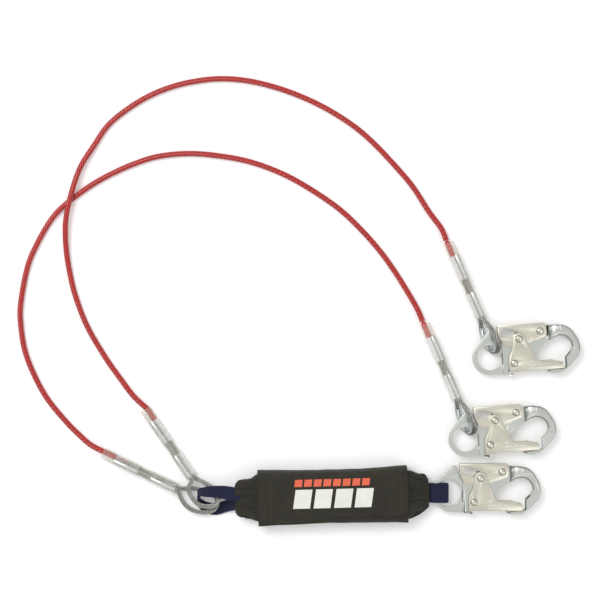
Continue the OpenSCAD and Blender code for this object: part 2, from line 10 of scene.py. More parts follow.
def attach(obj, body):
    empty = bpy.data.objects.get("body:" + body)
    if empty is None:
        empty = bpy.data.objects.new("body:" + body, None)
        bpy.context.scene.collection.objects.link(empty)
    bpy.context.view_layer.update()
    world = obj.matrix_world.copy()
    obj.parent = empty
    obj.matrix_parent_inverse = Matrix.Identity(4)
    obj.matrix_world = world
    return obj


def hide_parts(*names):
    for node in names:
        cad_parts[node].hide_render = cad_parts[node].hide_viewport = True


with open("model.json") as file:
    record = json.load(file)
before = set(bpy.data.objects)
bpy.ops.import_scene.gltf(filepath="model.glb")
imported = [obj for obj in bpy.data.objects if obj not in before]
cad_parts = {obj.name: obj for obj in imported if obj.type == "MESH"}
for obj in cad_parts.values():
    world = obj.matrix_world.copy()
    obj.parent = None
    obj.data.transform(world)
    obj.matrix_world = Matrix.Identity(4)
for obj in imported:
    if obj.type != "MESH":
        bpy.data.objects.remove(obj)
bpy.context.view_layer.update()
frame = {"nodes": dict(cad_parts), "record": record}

bl_info = {
    "name": "Shock absorbing lanyard",
    "version": (1, 0, 0),
    "blender": (4, 5, 0),
    "location": "3D View > Sidebar > Lanyard",
    "description": "Builds the finished pieces and materials of a wire rope lanyard",
    "category": "Object",
}

MM = 0.001
BODY_OF = {n: b for b, nodes in frame["record"]["behaviour"]["bodies"].items() for n in nodes}
LEGS = ("leg_a", "leg_b")
HOOKS = ("harness_hook", "leg_a_hook", "leg_b_hook")

# ---- The frame's own places, in millimetres ----

# Each hook's gate pivot, and how far the hook is turned, in degrees.
HOOK_AT = {
    "harness_hook": ((159.7, -143.6, 10.5), 0.0),
    "leg_a_hook": ((208.0, 22.3, 10.5), 4.5),
    "leg_b_hook": ((179.3, -75.2, 10.5), 4.5),
}
GATE_FACE = 8.0
NOSE_FACE = 6.0
# In a hook's own axes: where its middle and its full nose begin along X, where the nose's
# tip begins below, the top of its throat, the end of its eye, its lever's pivot and half
# the thickness of its eye.
MIDDLE_FROM = 17.0
NOSE_FROM = 44.0
TIP_BELOW = 13.0
THROAT_TOP = 33.0
EYE_BEFORE = -12.0
LEVER_PIVOT = (33.7, 36.1)
EYE_HALF_T = 2.8
# How widely the corners of a nose's outline are rounded, in metres.
OUTLINE_EASE = 0.0018

# A fitting: where its inner ferrule ends, its heading, its rise and its roll.
HOOK_END = {
    "leg_a": ((168.5, 77.5, 11.7), -67.0, 1.97, 57.0),
    "leg_b": ((140.0, -19.8, 11.7), -67.0, 1.97, 57.0),
}
PACK_END = {
    "leg_a": ((-178.3, -113.0, 11.5), -55.1, 2.2, -50.0),
    "leg_b": ((-197.5, -127.6, 9.5), -25.5, 1.0, -50.0),
}
FITTING_LEN = 80.0
FERRULE_LEN = 31.0
SLEEVE_MOUTH = 17.0
STRAND = 2.9
ROPE_R = 2.8
JACKET_R = 3.3
EYE_HALF_W = 11.8
EYE_REACH = 33.5

ROUTE = {
    "leg_a": [
        (-248, -18, 4.2), (-264, 3, 3.5), (-283, 30, 3.4), (-304, 66, 3.4), (-318, 102, 3.4),
        (-325, 131, 3.8), (-329, 160, 6), (-329, 191, 9.6), (-323, 222, 10.8), (-312, 256, 8.4),
        (-296, 283, 4.6), (-278, 309, 3.4), (-252, 330, 3.4), (-226, 345, 3.4), (-200, 355, 3.4),
        (-174, 361, 3.4), (-145, 364, 3.4), (-114, 362, 3.4), (-82, 355, 3.4), (-50, 344, 3.4),
        (-18, 329, 3.4), (14, 309, 3.4), (38, 289, 3.4), (63, 263, 3.4), (87, 235, 3.6),
        (107, 204, 4.4),
    ],
    "leg_b": [
        (-300, -76, 5), (-314, -64, 3.8), (-329, -49, 3.4), (-352, -21, 3.4), (-368, 8, 3.4),
        (-379, 37, 3.4), (-384, 68, 3.4), (-384, 94, 3.4), (-376, 137, 3.4), (-364, 166, 3.4),
        (-347, 195, 3.4), (-330, 213, 3.4), (-302, 234, 3.4), (-276, 249, 3.4), (-244, 263, 3.4),
        (-216, 271, 3.4), (-180, 274, 3.4), (-144, 271, 3.4), (-108, 264, 3.4), (-72, 251, 3.4),
        (-40, 234, 3.4), (-3, 209, 3.4), (24, 184, 3.4), (48, 157, 3.4), (66, 132, 3.6),
        (81, 108, 4.4),
    ],
}
EYE_ROUTE = {
    "leg_a": [
        (-167, -118.5, 13), (-157, -123.5, 15.2), (-148.5, -130.5, 15.6), (-145, -139, 15.6),
        (-150, -147, 15.6), (-160, -149, 15.6), (-170, -146, 15.6), (-178, -137, 15.4),
        (-181, -127, 14.8),
    ],
    "leg_b": [
        (-186, -128.4, 7.4), (-175, -128.4, 6.8), (-164, -130.2, 6.8), (-152, -136, 7.2),
        (-146.5, -145, 7.6), (-151, -153.4, 8), (-162, -156.8, 8.8), (-176, -154.5, 9.2),
        (-187, -146, 9.8),
    ],
}
# Middle line of the webbing loop at the cables, then its width direction, width and thickness.
CABLE_LOOP = [
    ((-112, -135, 21.4), (0, 1, 0), 17, 3.4), ((-124, -134, 21.6), (0, 1, 0), 17, 3.4),
    ((-138, -131.5, 21.6), (0, 1, 0), 16, 3.4), ((-152, -130.5, 21.2), (0, 1, 0), 14, 3.4),
    ((-161, -131, 20.4), (0, 1, 0), 12, 3.4), ((-166.5, -131.6, 17), (0, 1, 0), 10, 3.6),
    ((-168.5, -133.6, 13.8), (0, 1, 0), 9, 3.6), ((-169, -138.4, 11), (0, 1, 0), 9, 3.4),
    ((-169.5, -142.6, 8), (0, 1, 0), 9, 3.6), ((-168, -145.6, 4.4), (0, 1, 0), 9, 3.4),
    ((-162, -151, 2.2), (0, 1, 0), 13, 3.2), ((-150, -154, 2), (-0.2, 1, 0), 14, 3.2),
    ((-136, -150, 3), (-0.3, 1, 0), 14, 3.2), ((-124, -146.5, 8.4), (0, 1, 0), 15, 3.2),
    ((-112, -145, 12.5), (0, 1, 0), 15, 3.2),
]
PACK_PLACE = Matrix.Translation((-9.0, -136.5, 0.0)) @ Matrix.Rotation(math.radians(1.5), 4, "Z")
WRAP_HALF = 89.0


# ---- Settings a user would change ----

class LanyardSizes(bpy.types.PropertyGroup):
    """Sizes of the finish, in metres."""

    rope_lay: bpy.props.FloatProperty(
        name="Rope lay", description="Length of one turn of a rope's strands",
        default=0.040, min=0.015, max=0.05, subtype="DISTANCE", unit="LENGTH")
    jacket_lay: bpy.props.FloatProperty(
        name="Jacket lay", description="Length of one turn of the strands under a leg's jacket",
        default=0.033, min=0.02, max=0.06, subtype="DISTANCE", unit="LENGTH")
    forging_edge: bpy.props.FloatProperty(
        name="Forging edge", description="Width of the rounding on a hook's eye",
        default=0.0011, min=0.0002, max=0.002, subtype="DISTANCE", unit="LENGTH")
    nose_edge: bpy.props.FloatProperty(
        name="Nose chamfer", description="Width of the chamfer along a hook's nose",
        default=0.0026, min=0.0005, max=0.003, subtype="DISTANCE", unit="LENGTH")
    sheet_edge: bpy.props.FloatProperty(
        name="Sheet edge", description="Width of the rounding on pressed sheet",
        default=0.00045, min=0.0001, max=0.0006, subtype="DISTANCE", unit="LENGTH")
    stitch_pitch: bpy.props.FloatProperty(
        name="Stitch pitch", description="Distance from one stitch to the next",
        default=0.0034, min=0.002, max=0.006, subtype="DISTANCE", unit="LENGTH")


def colour(name, description, default):
    """A colour setting."""
    return bpy.props.FloatVectorProperty(
        name=name, description=description, default=default, size=3, min=0.0, max=1.0,
        subtype="COLOR")


class LanyardColours(bpy.types.PropertyGroup):
    """Base colours of the finishes."""

    steel: colour("Steel", "Zinc plated hooks", (0.62, 0.60, 0.51))
    vinyl: colour("Vinyl", "Jacket of the legs", (0.56, 0.010, 0.014))
    webbing: colour("Webbing", "Load-bearing webbing", (0.008, 0.012, 0.045))
    canvas: colour("Canvas", "Cover of the absorber", (0.027, 0.024, 0.015))
    print_warm: colour("Warm print", "Upper row of the printed mark", (0.78, 0.13, 0.06))
    print_pale: colour("Pale print", "Lower row of the printed mark", (0.82, 0.82, 0.76))


def sizes():
    """The sizes in use."""
    return bpy.context.scene.lanyard_sizes


def colours():
    """The colours in use."""
    return bpy.context.scene.lanyard_colours


# ---- Lines and places ----

def smooth_line(points, steps):
    """Points of a smooth curve through the given ones."""
    pts = [Vector(p) for p in points]
    last = len(pts) - 1
    line = []
    for i in range(last):
        p0, p1, p2, p3 = pts[max(i - 1, 0)], pts[i], pts[i + 1], pts[min(i + 2, last)]
        for k in range(steps):
            u = k / steps
            line.append(0.5 * (
                2 * p1 + (p2 - p0) * u + (2 * p0 - 5 * p1 + 4 * p2 - p3) * u * u
                + (3 * p1 - p0 - 3 * p2 + p3) * u ** 3))
    line.append(pts[last])
    return line


def line_length(points):
    """Length of a line of points."""
    return sum((b - a).length for a, b in zip(points, points[1:]))


def evenly(points, step):
    """Points an even step apart along a line."""
    total = line_length(points)
    count = max(2, round(total / step))
    out, i, gone = [], 0, 0.0
    for k in range(count + 1):
        goal = total * k / count
        while i < len(points) - 2 and gone + (points[i + 1] - points[i]).length < goal:
            gone += (points[i + 1] - points[i]).length
            i += 1
        span = (points[i + 1] - points[i]).length
        out.append(points[i].lerp(points[i + 1], min(1.0, (goal - gone) / span)))
    return out


def heading(points, i):
    """The direction of a line of points at one of them."""
    return (points[min(i + 1, len(points) - 1)] - points[max(i - 1, 0)]).normalized()


def fitting_place(fitting):
    """Matrix of a fitting's own axes: along the leg, across its two ropes, square to both."""
    origin, head, rise, roll = fitting
    head, rise, roll = (math.radians(a) for a in (head, rise, roll))
    along = Vector((math.cos(head) * math.cos(rise), math.sin(head) * math.cos(rise), math.sin(rise)))
    level = Vector((0, 0, 1)).cross(along).normalized()
    across = math.cos(roll) * level + math.sin(roll) * along.cross(level)
    up = along.cross(across)
    turn = Matrix((along, across, up)).transposed().to_4x4()
    return Matrix.Translation(origin) @ turn


def hook_place(hook):
    """Matrix of a hook's own axes, with the gate pivot at the origin."""
    at, turn = HOOK_AT[hook]
    return Matrix.Translation(at) @ Matrix.Rotation(math.radians(turn), 4, "Z")


def bezier(a, b, c, d, u):
    """A point of a cubic curve."""
    return a * (1 - u) ** 3 + b * 3 * u * (1 - u) ** 2 + c * 3 * u * u * (1 - u) + d * u ** 3


def hook_eye_line():
    """Middle line of a hook-end rope eye, in its fitting's axes."""
    side = [
        bezier(Vector((0, STRAND, 0)), Vector((8, STRAND, 0)), Vector((14, EYE_HALF_W, 0)),
               Vector((27, EYE_HALF_W, 0)), i / 12) for i in range(13)]
    tip = [
        Vector((EYE_REACH + EYE_HALF_W * math.cos(a), EYE_HALF_W * math.sin(a), 0))
        for a in (math.radians(90 - 180 * i / 20) for i in range(21))]
    start = [Vector((-FITTING_LEN, STRAND, 0)), Vector((-3, STRAND, 0))]
    half = start + side
    back = [Vector((p.x, -p.y, p.z)) for p in reversed(half)]
    return half + tip + back


def pack_eye_line(leg):
    """Middle line of a pack-end rope eye, in the lanyard's frame."""
    place = fitting_place(PACK_END[leg])
    there = [place @ Vector((x, STRAND, 0)) for x in (-FITTING_LEN, -54, -27, 0, 4.5)]
    back = [place @ Vector((x, -STRAND, 0)) for x in (4.5, 0, -27, -54, -FITTING_LEN)]
    return smooth_line(there + [Vector(p) for p in EYE_ROUTE[leg]] + back, 8)


def cable_line(leg):
    """Middle line of a jacketed leg, from the pack-end ferrule to the hook-end sleeve."""
    mouth = -FITTING_LEN - SLEEVE_MOUTH
    pack, hook = fitting_place(PACK_END[leg]), fitting_place(HOOK_END[leg])
    start = [pack @ Vector((x, STRAND, 0)) for x in (-FITTING_LEN - 0.1, -FITTING_LEN - 6, mouth)]
    end = [hook @ Vector((x, -STRAND, 0)) for x in (mouth - 20, mouth - JACKET_R - 0.3)]
    return smooth_line(start + [Vector(p) for p in ROUTE[leg]] + end, 12)


# ---- Making pieces ----

def add_object(name, data):
    """A new object in the scene."""
    obj = bpy.data.objects.new(name, data)
    bpy.context.scene.collection.objects.link(obj)
    return obj


def finish_piece(obj, material, body, stands_for=()):
    """Gives a piece its material, its body and the nodes that it stands for."""
    obj.data.materials.clear()
    obj.data.materials.append(material)
    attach(obj, body)
    if stands_for:
        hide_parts(*stands_for)
    return obj


def paint_node(node, material):
    """Gives a CAD node its material."""
    frame["nodes"][node].data.materials.clear()
    frame["nodes"][node].data.materials.append(material)


def thicken(obj, thickness):
    """Gives a sheet its thickness in metres, inwards."""
    wall = obj.modifiers.new("Wall", "SOLIDIFY")
    wall.thickness = thickness
    wall.offset = -1.0


def mesh_object(name, bm, smooth_angle=None):
    """An object from a bmesh, smooth except over edges sharper than the angle in degrees."""
    mesh = bpy.data.meshes.new(name)
    bm.to_mesh(mesh)
    bm.free()
    for polygon in mesh.polygons:
        polygon.use_smooth = smooth_angle is not None
    if smooth_angle is not None:
        mesh.set_sharp_from_angle(angle=math.radians(smooth_angle))
    return add_object(name, mesh)


def curve_object(name, lines, radius, sides=3):
    """Round cords along lines of points in millimetres."""
    curve = bpy.data.curves.new(name, "CURVE")
    curve.dimensions = "3D"
    curve.bevel_depth = radius * MM
    curve.bevel_resolution = sides
    curve.use_fill_caps = True
    for line in lines:
        spline = curve.splines.new("POLY")
        spline.points.add(len(line) - 1)
        for point, place in zip(spline.points, line):
            point.co = (*(place * MM), 1.0)
        spline.use_smooth = True
    return add_object(name, curve)


def rounded_section(t, half_w, half_h, r):
    """The point a share t of the way round a rounded rectangle, from the middle of its +Y side."""
    flat_w, flat_h, arc = 2 * (half_w - r), 2 * (half_h - r), math.pi * r / 2
    left = (t % 1.0) * (2 * flat_w + 2 * flat_h + 4 * arc)
    runs = [
        (flat_h / 2, (half_w, 0), (0, 1)), (arc, (half_w - r, half_h - r), 0),
        (flat_w, (half_w - r, half_h), (-1, 0)), (arc, (r - half_w, half_h - r), 90),
        (flat_h, (-half_w, half_h - r), (0, -1)), (arc, (r - half_w, r - half_h), 180),
        (flat_w, (r - half_w, -half_h), (1, 0)), (arc, (half_w - r, r - half_h), 270),
        (flat_h / 2, (half_w, r - half_h), (0, 1)),
    ]
    for length, start, way in runs:
        if left <= length + 1e-9:
            if isinstance(way, tuple):
                return start[0] + way[0] * left, start[1] + way[1] * left
            angle = math.radians(way) + left / r
            return start[0] + r * math.cos(angle), start[1] + r * math.sin(angle)
        left -= length
    return half_w, 0.0


def loft(name, stations, place, segments, closed_ends=False, smooth_angle=60):
    """A tube: a circle extruded from station to station, its ring placed at each by place(s, t)
    in millimetres. Its UV map holds metres, along the tube and round it."""
    bm = bmesh.new()
    made = bmesh.ops.create_circle(bm, segments=segments, radius=1.0)
    ring = list(made["verts"])
    shares = [math.atan2(v.co.y, v.co.x) / (2 * math.pi) % 1.0 for v in ring]
    order = sorted(range(segments), key=lambda i: shares[i])
    ring = [ring[i] for i in order]
    shares = [i / segments for i in range(segments)]
    edges = list(bm.edges)
    first = edges
    rings = []
    for k, station in enumerate(stations):
        if k:
            grown = bmesh.ops.extrude_edge_only(bm, edges=edges)["geom"]
            fresh = {v for v in grown if isinstance(v, bmesh.types.BMVert)}
            edges = [e for e in grown if isinstance(e, bmesh.types.BMEdge)
                     and e.verts[0] in fresh and e.verts[1] in fresh]
            follow = {}
            for old in ring:
                follow[old] = next(e.other_vert(old) for e in old.link_edges
                                   if e.other_vert(old) in fresh)
            ring = [follow[old] for old in ring]
        rings.append(ring)
        for v, t in zip(ring, shares):
            v.co = place(station, t) * MM
    if closed_ends:
        bmesh.ops.edgeloop_fill(bm, edges=first)
        bmesh.ops.edgeloop_fill(bm, edges=edges)
    where = {v: (k, j) for k, one in enumerate(rings) for j, v in enumerate(one)}
    centre = [sum((v.co for v in one), Vector()) / segments for one in rings]
    along = [0.0]
    for a, b in zip(centre, centre[1:]):
        along.append(along[-1] + (b - a).length)
    middle = rings[len(rings) // 2]
    around = [0.0]
    for j in range(segments):
        around.append(around[-1] + (middle[(j + 1) % segments].co - middle[j].co).length)
    uv = bm.loops.layers.uv.new("UVMap")
    for face in bm.faces:
        js = [where[lp.vert][1] for lp in face.loops]
        wraps = len(js) == 4 and max(js) - min(js) > segments / 2
        for lp in face.loops:
            k, j = where[lp.vert]
            lp[uv].uv = (along[k], around[segments if wraps and j == 0 else j])
    bmesh.ops.recalc_face_normals(bm, faces=list(bm.faces))
    return mesh_object(name, bm, smooth_angle)


def ease_outline(bm, eased):
    """Rounds the corners of an upright outline, by place."""
    widths = {}
    for edge in bm.edges:
        a, b = (v.co for v in edge.verts)
        if len(edge.link_faces) != 2 or math.hypot(a.x - b.x, a.y - b.y) > 1e-5:
            continue
        bend = edge.calc_face_angle(0)
        width = eased((a + b) / 2)
        if width and math.radians(5) < bend < math.radians(34):
            widths.setdefault(width, []).append(edge)
    for width, edges in widths.items():
        bmesh.ops.bevel(
            bm, geom=edges, offset=width, offset_type="OFFSET", segments=4, profile=0.5,
            affect="EDGES", clamp_overlap=True, material=-1)


def press_dimples(bm, radius):
    """Presses a hollow into the flat top of each rivet head."""
    flat = [f for f in bm.faces if abs(f.normal.z) > 0.999 and len(f.verts) > 8]
    if not flat:
        return
    top = max(f.calc_center_median().z for f in flat)
    low = min(f.calc_center_median().z for f in flat)
    ends = [f for f in flat if f.calc_center_median().z in (top, low)]
    for face in ends:
        size = (face.verts[0].co - face.calc_center_median()).length
        bmesh.ops.inset_individual(bm, faces=[face], thickness=max(0.0001, size - radius), depth=0.0)
        bmesh.ops.inset_individual(bm, faces=[face], thickness=radius * 0.3, depth=-0.0006)


def refined(node, name, material, edge_width, segments=2, angle=32, where=None, eased=None,
            dimple=0.0):
    """A copy of a CAD node with its sharp edges rounded, which stands for that node.
    where(point) may give another width, in metres, for edges at that place. eased(point) may
    give a width over which an outline's corner is rounded first. dimple is the radius of a
    hollow pressed into each flat end."""
    bm = bmesh.new()
    bm.from_mesh(frame["nodes"][node].data)
    bmesh.ops.remove_doubles(bm, verts=list(bm.verts), dist=2e-6)
    bmesh.ops.dissolve_limit(
        bm, angle_limit=math.radians(0.8), verts=list(bm.verts), edges=list(bm.edges))
    if eased:
        ease_outline(bm, eased)
    sharp = [e for e in bm.edges if len(e.link_faces) == 2
             and e.calc_face_angle(0) > math.radians(angle)]
    widths = {}
    for edge in sharp:
        middle = (edge.verts[0].co + edge.verts[1].co) / 2
        width = where(middle) if where else edge_width
        widths.setdefault(width, []).append(edge)
    for width in sorted(widths, reverse=True):
        live = [e for e in widths[width] if e.is_valid]
        if width > 0 and live:
            bmesh.ops.bevel(
                bm, geom=live, offset=width, offset_type="OFFSET", segments=segments,
                profile=0.5, affect="EDGES", clamp_overlap=width < 0.002, material=-1)
    if dimple:
        press_dimples(bm, dimple)
    piece = mesh_object(name, bm, 38)
    return finish_piece(piece, material, BODY_OF[node], [node])


# ---- Node groups ----

def node_group(name, inputs, outputs):
    """A shader node group with its sockets, its input and its output nodes."""
    group = bpy.data.node_groups.new(name, "ShaderNodeTree")
    for label, kind, value in inputs:
        socket = group.interface.new_socket(name=label, in_out="INPUT", socket_type=kind)
        if value is not None:
            socket.default_value = value
    for label, kind in outputs:
        group.interface.new_socket(name=label, in_out="OUTPUT", socket_type=kind)
    return group, group.nodes.new("NodeGroupInput"), group.nodes.new("NodeGroupOutput")


def maths(tree, operation, a, b=None, clamp=False):
    """A Math node on two sockets or numbers. Returns its output."""
    node = tree.nodes.new("ShaderNodeMath")
    node.operation = operation
    node.use_clamp = clamp
    for socket, value in zip(node.inputs, (a, b)):
        if value is None:
            continue
        if isinstance(value, (int, float)):
            socket.default_value = value
        else:
            tree.links.new(value, socket)
    return node.outputs[0]


def thread_group():
    """Woven threads: ridges along one way crossed by ridges the other way, on a UV in metres."""
    group, into, out = node_group("Woven threads", [
        ("Vector", "NodeSocketVector", None), ("Pitch", "NodeSocketFloat", 0.001),
        ("Slant", "NodeSocketFloat", 0.0)],
        [("Height", "NodeSocketFloat"), ("Shade", "NodeSocketFloat")])
    split = group.nodes.new("ShaderNodeSeparateXYZ")
    group.links.new(into.outputs["Vector"], split.inputs[0])
    turn = maths(group, "DIVIDE", 2 * math.pi, into.outputs["Pitch"])
    lean = maths(group, "MULTIPLY", split.outputs[1], into.outputs["Slant"])
    along = maths(group, "SINE", maths(
        group, "MULTIPLY", maths(group, "ADD", split.outputs[0], lean), turn))
    across = maths(group, "SINE", maths(group, "MULTIPLY", split.outputs[1], turn))
    woven = maths(group, "MULTIPLY", maths(group, "ABSOLUTE", along), maths(group, "ABSOLUTE", across))
    height = maths(group, "ADD", maths(group, "MULTIPLY", along, 0.5), woven)
    cloud = group.nodes.new("ShaderNodeTexNoise")
    cloud.inputs["Scale"].default_value = 90.0
    cloud.inputs["Detail"].default_value = 5.0
    group.links.new(into.outputs["Vector"], cloud.inputs["Vector"])
    shade = maths(group, "ADD", maths(group, "MULTIPLY", height, 0.35), cloud.outputs["Fac"])
    group.links.new(height, out.inputs["Height"])
    group.links.new(maths(group, "MULTIPLY", shade, 0.8, clamp=True), out.inputs["Shade"])
    return group


def grain_group():
    """Fine grain of plated metal with broader clouds and rubbed patches."""
    group, into, out = node_group("Plated grain", [
        ("Vector", "NodeSocketVector", None), ("Fine", "NodeSocketFloat", 1500.0),
        ("Broad", "NodeSocketFloat", 60.0)],
        [("Height", "NodeSocketFloat"), ("Cloud", "NodeSocketFloat"), ("Rub", "NodeSocketFloat")])
    for scale, socket, detail in (("Fine", "Height", 3.0), ("Broad", "Cloud", 6.0)):
        tex = group.nodes.new("ShaderNodeTexNoise")
        tex.inputs["Detail"].default_value = detail
        group.links.new(into.outputs["Vector"], tex.inputs["Vector"])
        group.links.new(into.outputs[scale], tex.inputs["Scale"])
        group.links.new(tex.outputs["Fac"], out.inputs[socket])
    rub = group.nodes.new("ShaderNodeTexNoise")
    rub.inputs["Scale"].default_value = 240.0
    rub.inputs["Detail"].default_value = 8.0
    rub.inputs["Distortion"].default_value = 1.5
    group.links.new(into.outputs["Vector"], rub.inputs["Vector"])
    raised = maths(group, "SUBTRACT", rub.outputs["Fac"], 0.58)
    spots = maths(group, "MULTIPLY", raised, 8.0, clamp=True)
    group.links.new(spots, out.inputs["Rub"])
    return group


def shared_group(name):
    """The named group, made the first time that it is asked for."""
    makers = {"Woven threads": thread_group, "Plated grain": grain_group}
    return bpy.data.node_groups.get(name) or makers[name]()


# ---- Materials ----

def new_material(name):
    """A material with its tree and its Principled shader."""
    material = bpy.data.materials.new(name)
    material.use_nodes = True
    return material, material.node_tree, material.node_tree.nodes["Principled BSDF"]


def group_node(tree, name, **values):
    """A placed copy of a shared group, with its own numbers."""
    node = tree.nodes.new("ShaderNodeGroup")
    node.node_tree = shared_group(name)
    for label, value in values.items():
        node.inputs[label].default_value = value
    return node


def mixed(tree, share, dark, light):
    """A colour mixed from two by a share. Returns its output."""
    node = tree.nodes.new("ShaderNodeMix")
    node.data_type = "RGBA"
    tree.links.new(share, node.inputs["Factor"])
    node.inputs["A"].default_value = (*dark, 1.0)
    node.inputs["B"].default_value = (*light, 1.0)
    return node.outputs["Result"]


def bumped(tree, shader, height, strength, distance):
    """Feeds a height through a Bump node to the shader's normal."""
    node = tree.nodes.new("ShaderNodeBump")
    node.inputs["Strength"].default_value = strength
    node.inputs["Distance"].default_value = distance
    tree.links.new(height, node.inputs["Height"])
    tree.links.new(node.outputs["Normal"], shader.inputs["Normal"])


def scaled(base, factor):
    """A colour made lighter or darker."""
    return tuple(min(1.0, c * factor) for c in base)


def metal(name, base, roughness, fine=1500.0, bump=0.25, spread=0.16, metallic=1.0):
    """Plated or bare metal with grain, clouds and rubbed spots."""
    material, tree, shader = new_material(name)
    coords = tree.nodes.new("ShaderNodeTexCoord")
    grain = group_node(tree, "Plated grain", Fine=fine)
    tree.links.new(coords.outputs["Object"], grain.inputs["Vector"])
    tree.links.new(
        mixed(tree, grain.outputs["Cloud"], scaled(base, 1 - spread), scaled(base, 1 + spread)),
        shader.inputs["Base Color"])
    rough = maths(tree, "ADD", maths(tree, "MULTIPLY", grain.outputs["Rub"], 0.12), roughness)
    tree.links.new(rough, shader.inputs["Roughness"])
    shader.inputs["Metallic"].default_value = metallic
    bumped(tree, shader, grain.outputs["Height"], bump, 0.0002)
    return material


def cloth(name, base, pitch, slant, bump, lighter=1.8, sheen=0.25, roughness=0.85):
    """Woven cloth or webbing on its UV in metres."""
    material, tree, shader = new_material(name)
    coords = tree.nodes.new("ShaderNodeTexCoord")
    threads = group_node(tree, "Woven threads", Pitch=pitch, Slant=slant)
    tree.links.new(coords.outputs["UV"], threads.inputs["Vector"])
    tree.links.new(
        mixed(tree, threads.outputs["Shade"], scaled(base, 0.55), scaled(base, lighter)),
        shader.inputs["Base Color"])
    shader.inputs["Roughness"].default_value = roughness
    shader.inputs["Sheen Weight"].default_value = sheen
    shader.inputs["Sheen Roughness"].default_value = 0.5
    bumped(tree, shader, threads.outputs["Height"], bump, pitch * 0.35)
    return material


def solid_cloth(name, base, pitch, bump):
    """Woven cloth on Object coordinates, for CAD nodes."""
    material = cloth(name, base, pitch, 0.0, bump)
    tree = material.node_tree
    coords = tree.nodes["Texture Coordinate"]
    group = next(n for n in tree.nodes if n.bl_idname == "ShaderNodeGroup")
    tree.links.new(coords.outputs["Object"], group.inputs["Vector"])
    return material


def stranded(name, dark, light, turns_per_u, strands, roughness, metallic, bump, coat=0.0):
    """A cord whose strands wind round it, on a UV that is 0 to 1 along it and round it. Its colour is the
    dark one in the grooves between strands, which is painted shade, and the light one on their crests,
    which is partly the strands' own tone and partly painted highlight.
    """
    material, tree, shader = new_material(name)
    coords = tree.nodes.new("ShaderNodeTexCoord")
    split = tree.nodes.new("ShaderNodeSeparateXYZ")
    tree.links.new(coords.outputs["UV"], split.inputs[0])
    wound = maths(tree, "ADD", maths(tree, "MULTIPLY", split.outputs[0], turns_per_u * strands),
                  maths(tree, "MULTIPLY", split.outputs[1], strands))
    ridge = maths(tree, "ABSOLUTE", maths(tree, "SINE", maths(tree, "MULTIPLY", wound, math.pi)))
    cloud = tree.nodes.new("ShaderNodeTexNoise")
    cloud.inputs["Scale"].default_value = 120.0
    cloud.inputs["Detail"].default_value = 4.0
    tree.links.new(coords.outputs["Object"], cloud.inputs["Vector"])
    # Crests take the light colour and grooves the dark one: painted highlight on the crests, painted shade
    # between the strands.
    crest = maths(tree, "POWER", ridge, 1.6)
    # Cloud noise varies how light the crests get: partly wear, partly patchy painted highlight.
    wear_and_highlight = maths(tree, "ADD", maths(tree, "MULTIPLY", cloud.outputs["Fac"], 0.7), 0.55)
    share = maths(tree, "MULTIPLY", crest, wear_and_highlight, clamp=True)
    tree.links.new(mixed(tree, share, dark, light), shader.inputs["Base Color"])
    shader.inputs["Roughness"].default_value = roughness
    shader.inputs["Metallic"].default_value = metallic
    shader.inputs["Coat Weight"].default_value = coat
    shader.inputs["Coat Roughness"].default_value = 0.08
    bumped(tree, shader, ridge, bump, 0.0004)
    return material


def plain(name, base, roughness, bump=0.1, scale=900.0, **constants):
    """A moulded or printed surface with a fine grain."""
    material, tree, shader = new_material(name)
    coords = tree.nodes.new("ShaderNodeTexCoord")
    grain = group_node(tree, "Plated grain", Fine=scale)
    tree.links.new(coords.outputs["Object"], grain.inputs["Vector"])
    tree.links.new(mixed(tree, grain.outputs["Cloud"], scaled(base, 0.88), scaled(base, 1.1)),
                   shader.inputs["Base Color"])
    shader.inputs["Roughness"].default_value = roughness
    for label, value in constants.items():
        shader.inputs[label.replace("_", " ")].default_value = value
    bumped(tree, shader, grain.outputs["Height"], bump, 0.0002)
    return material


def floor_finish():
    """A smooth white sheet, lit a little from behind."""
    material, _, shader = new_material("Floor")
    shader.inputs["Base Color"].default_value = (0.93, 0.93, 0.93, 1.0)
    shader.inputs["Roughness"].default_value = 0.9
    shader.inputs["Emission Color"].default_value = (1.0, 1.0, 1.0, 1.0)
    shader.inputs["Emission Strength"].default_value = 0.16
    return material


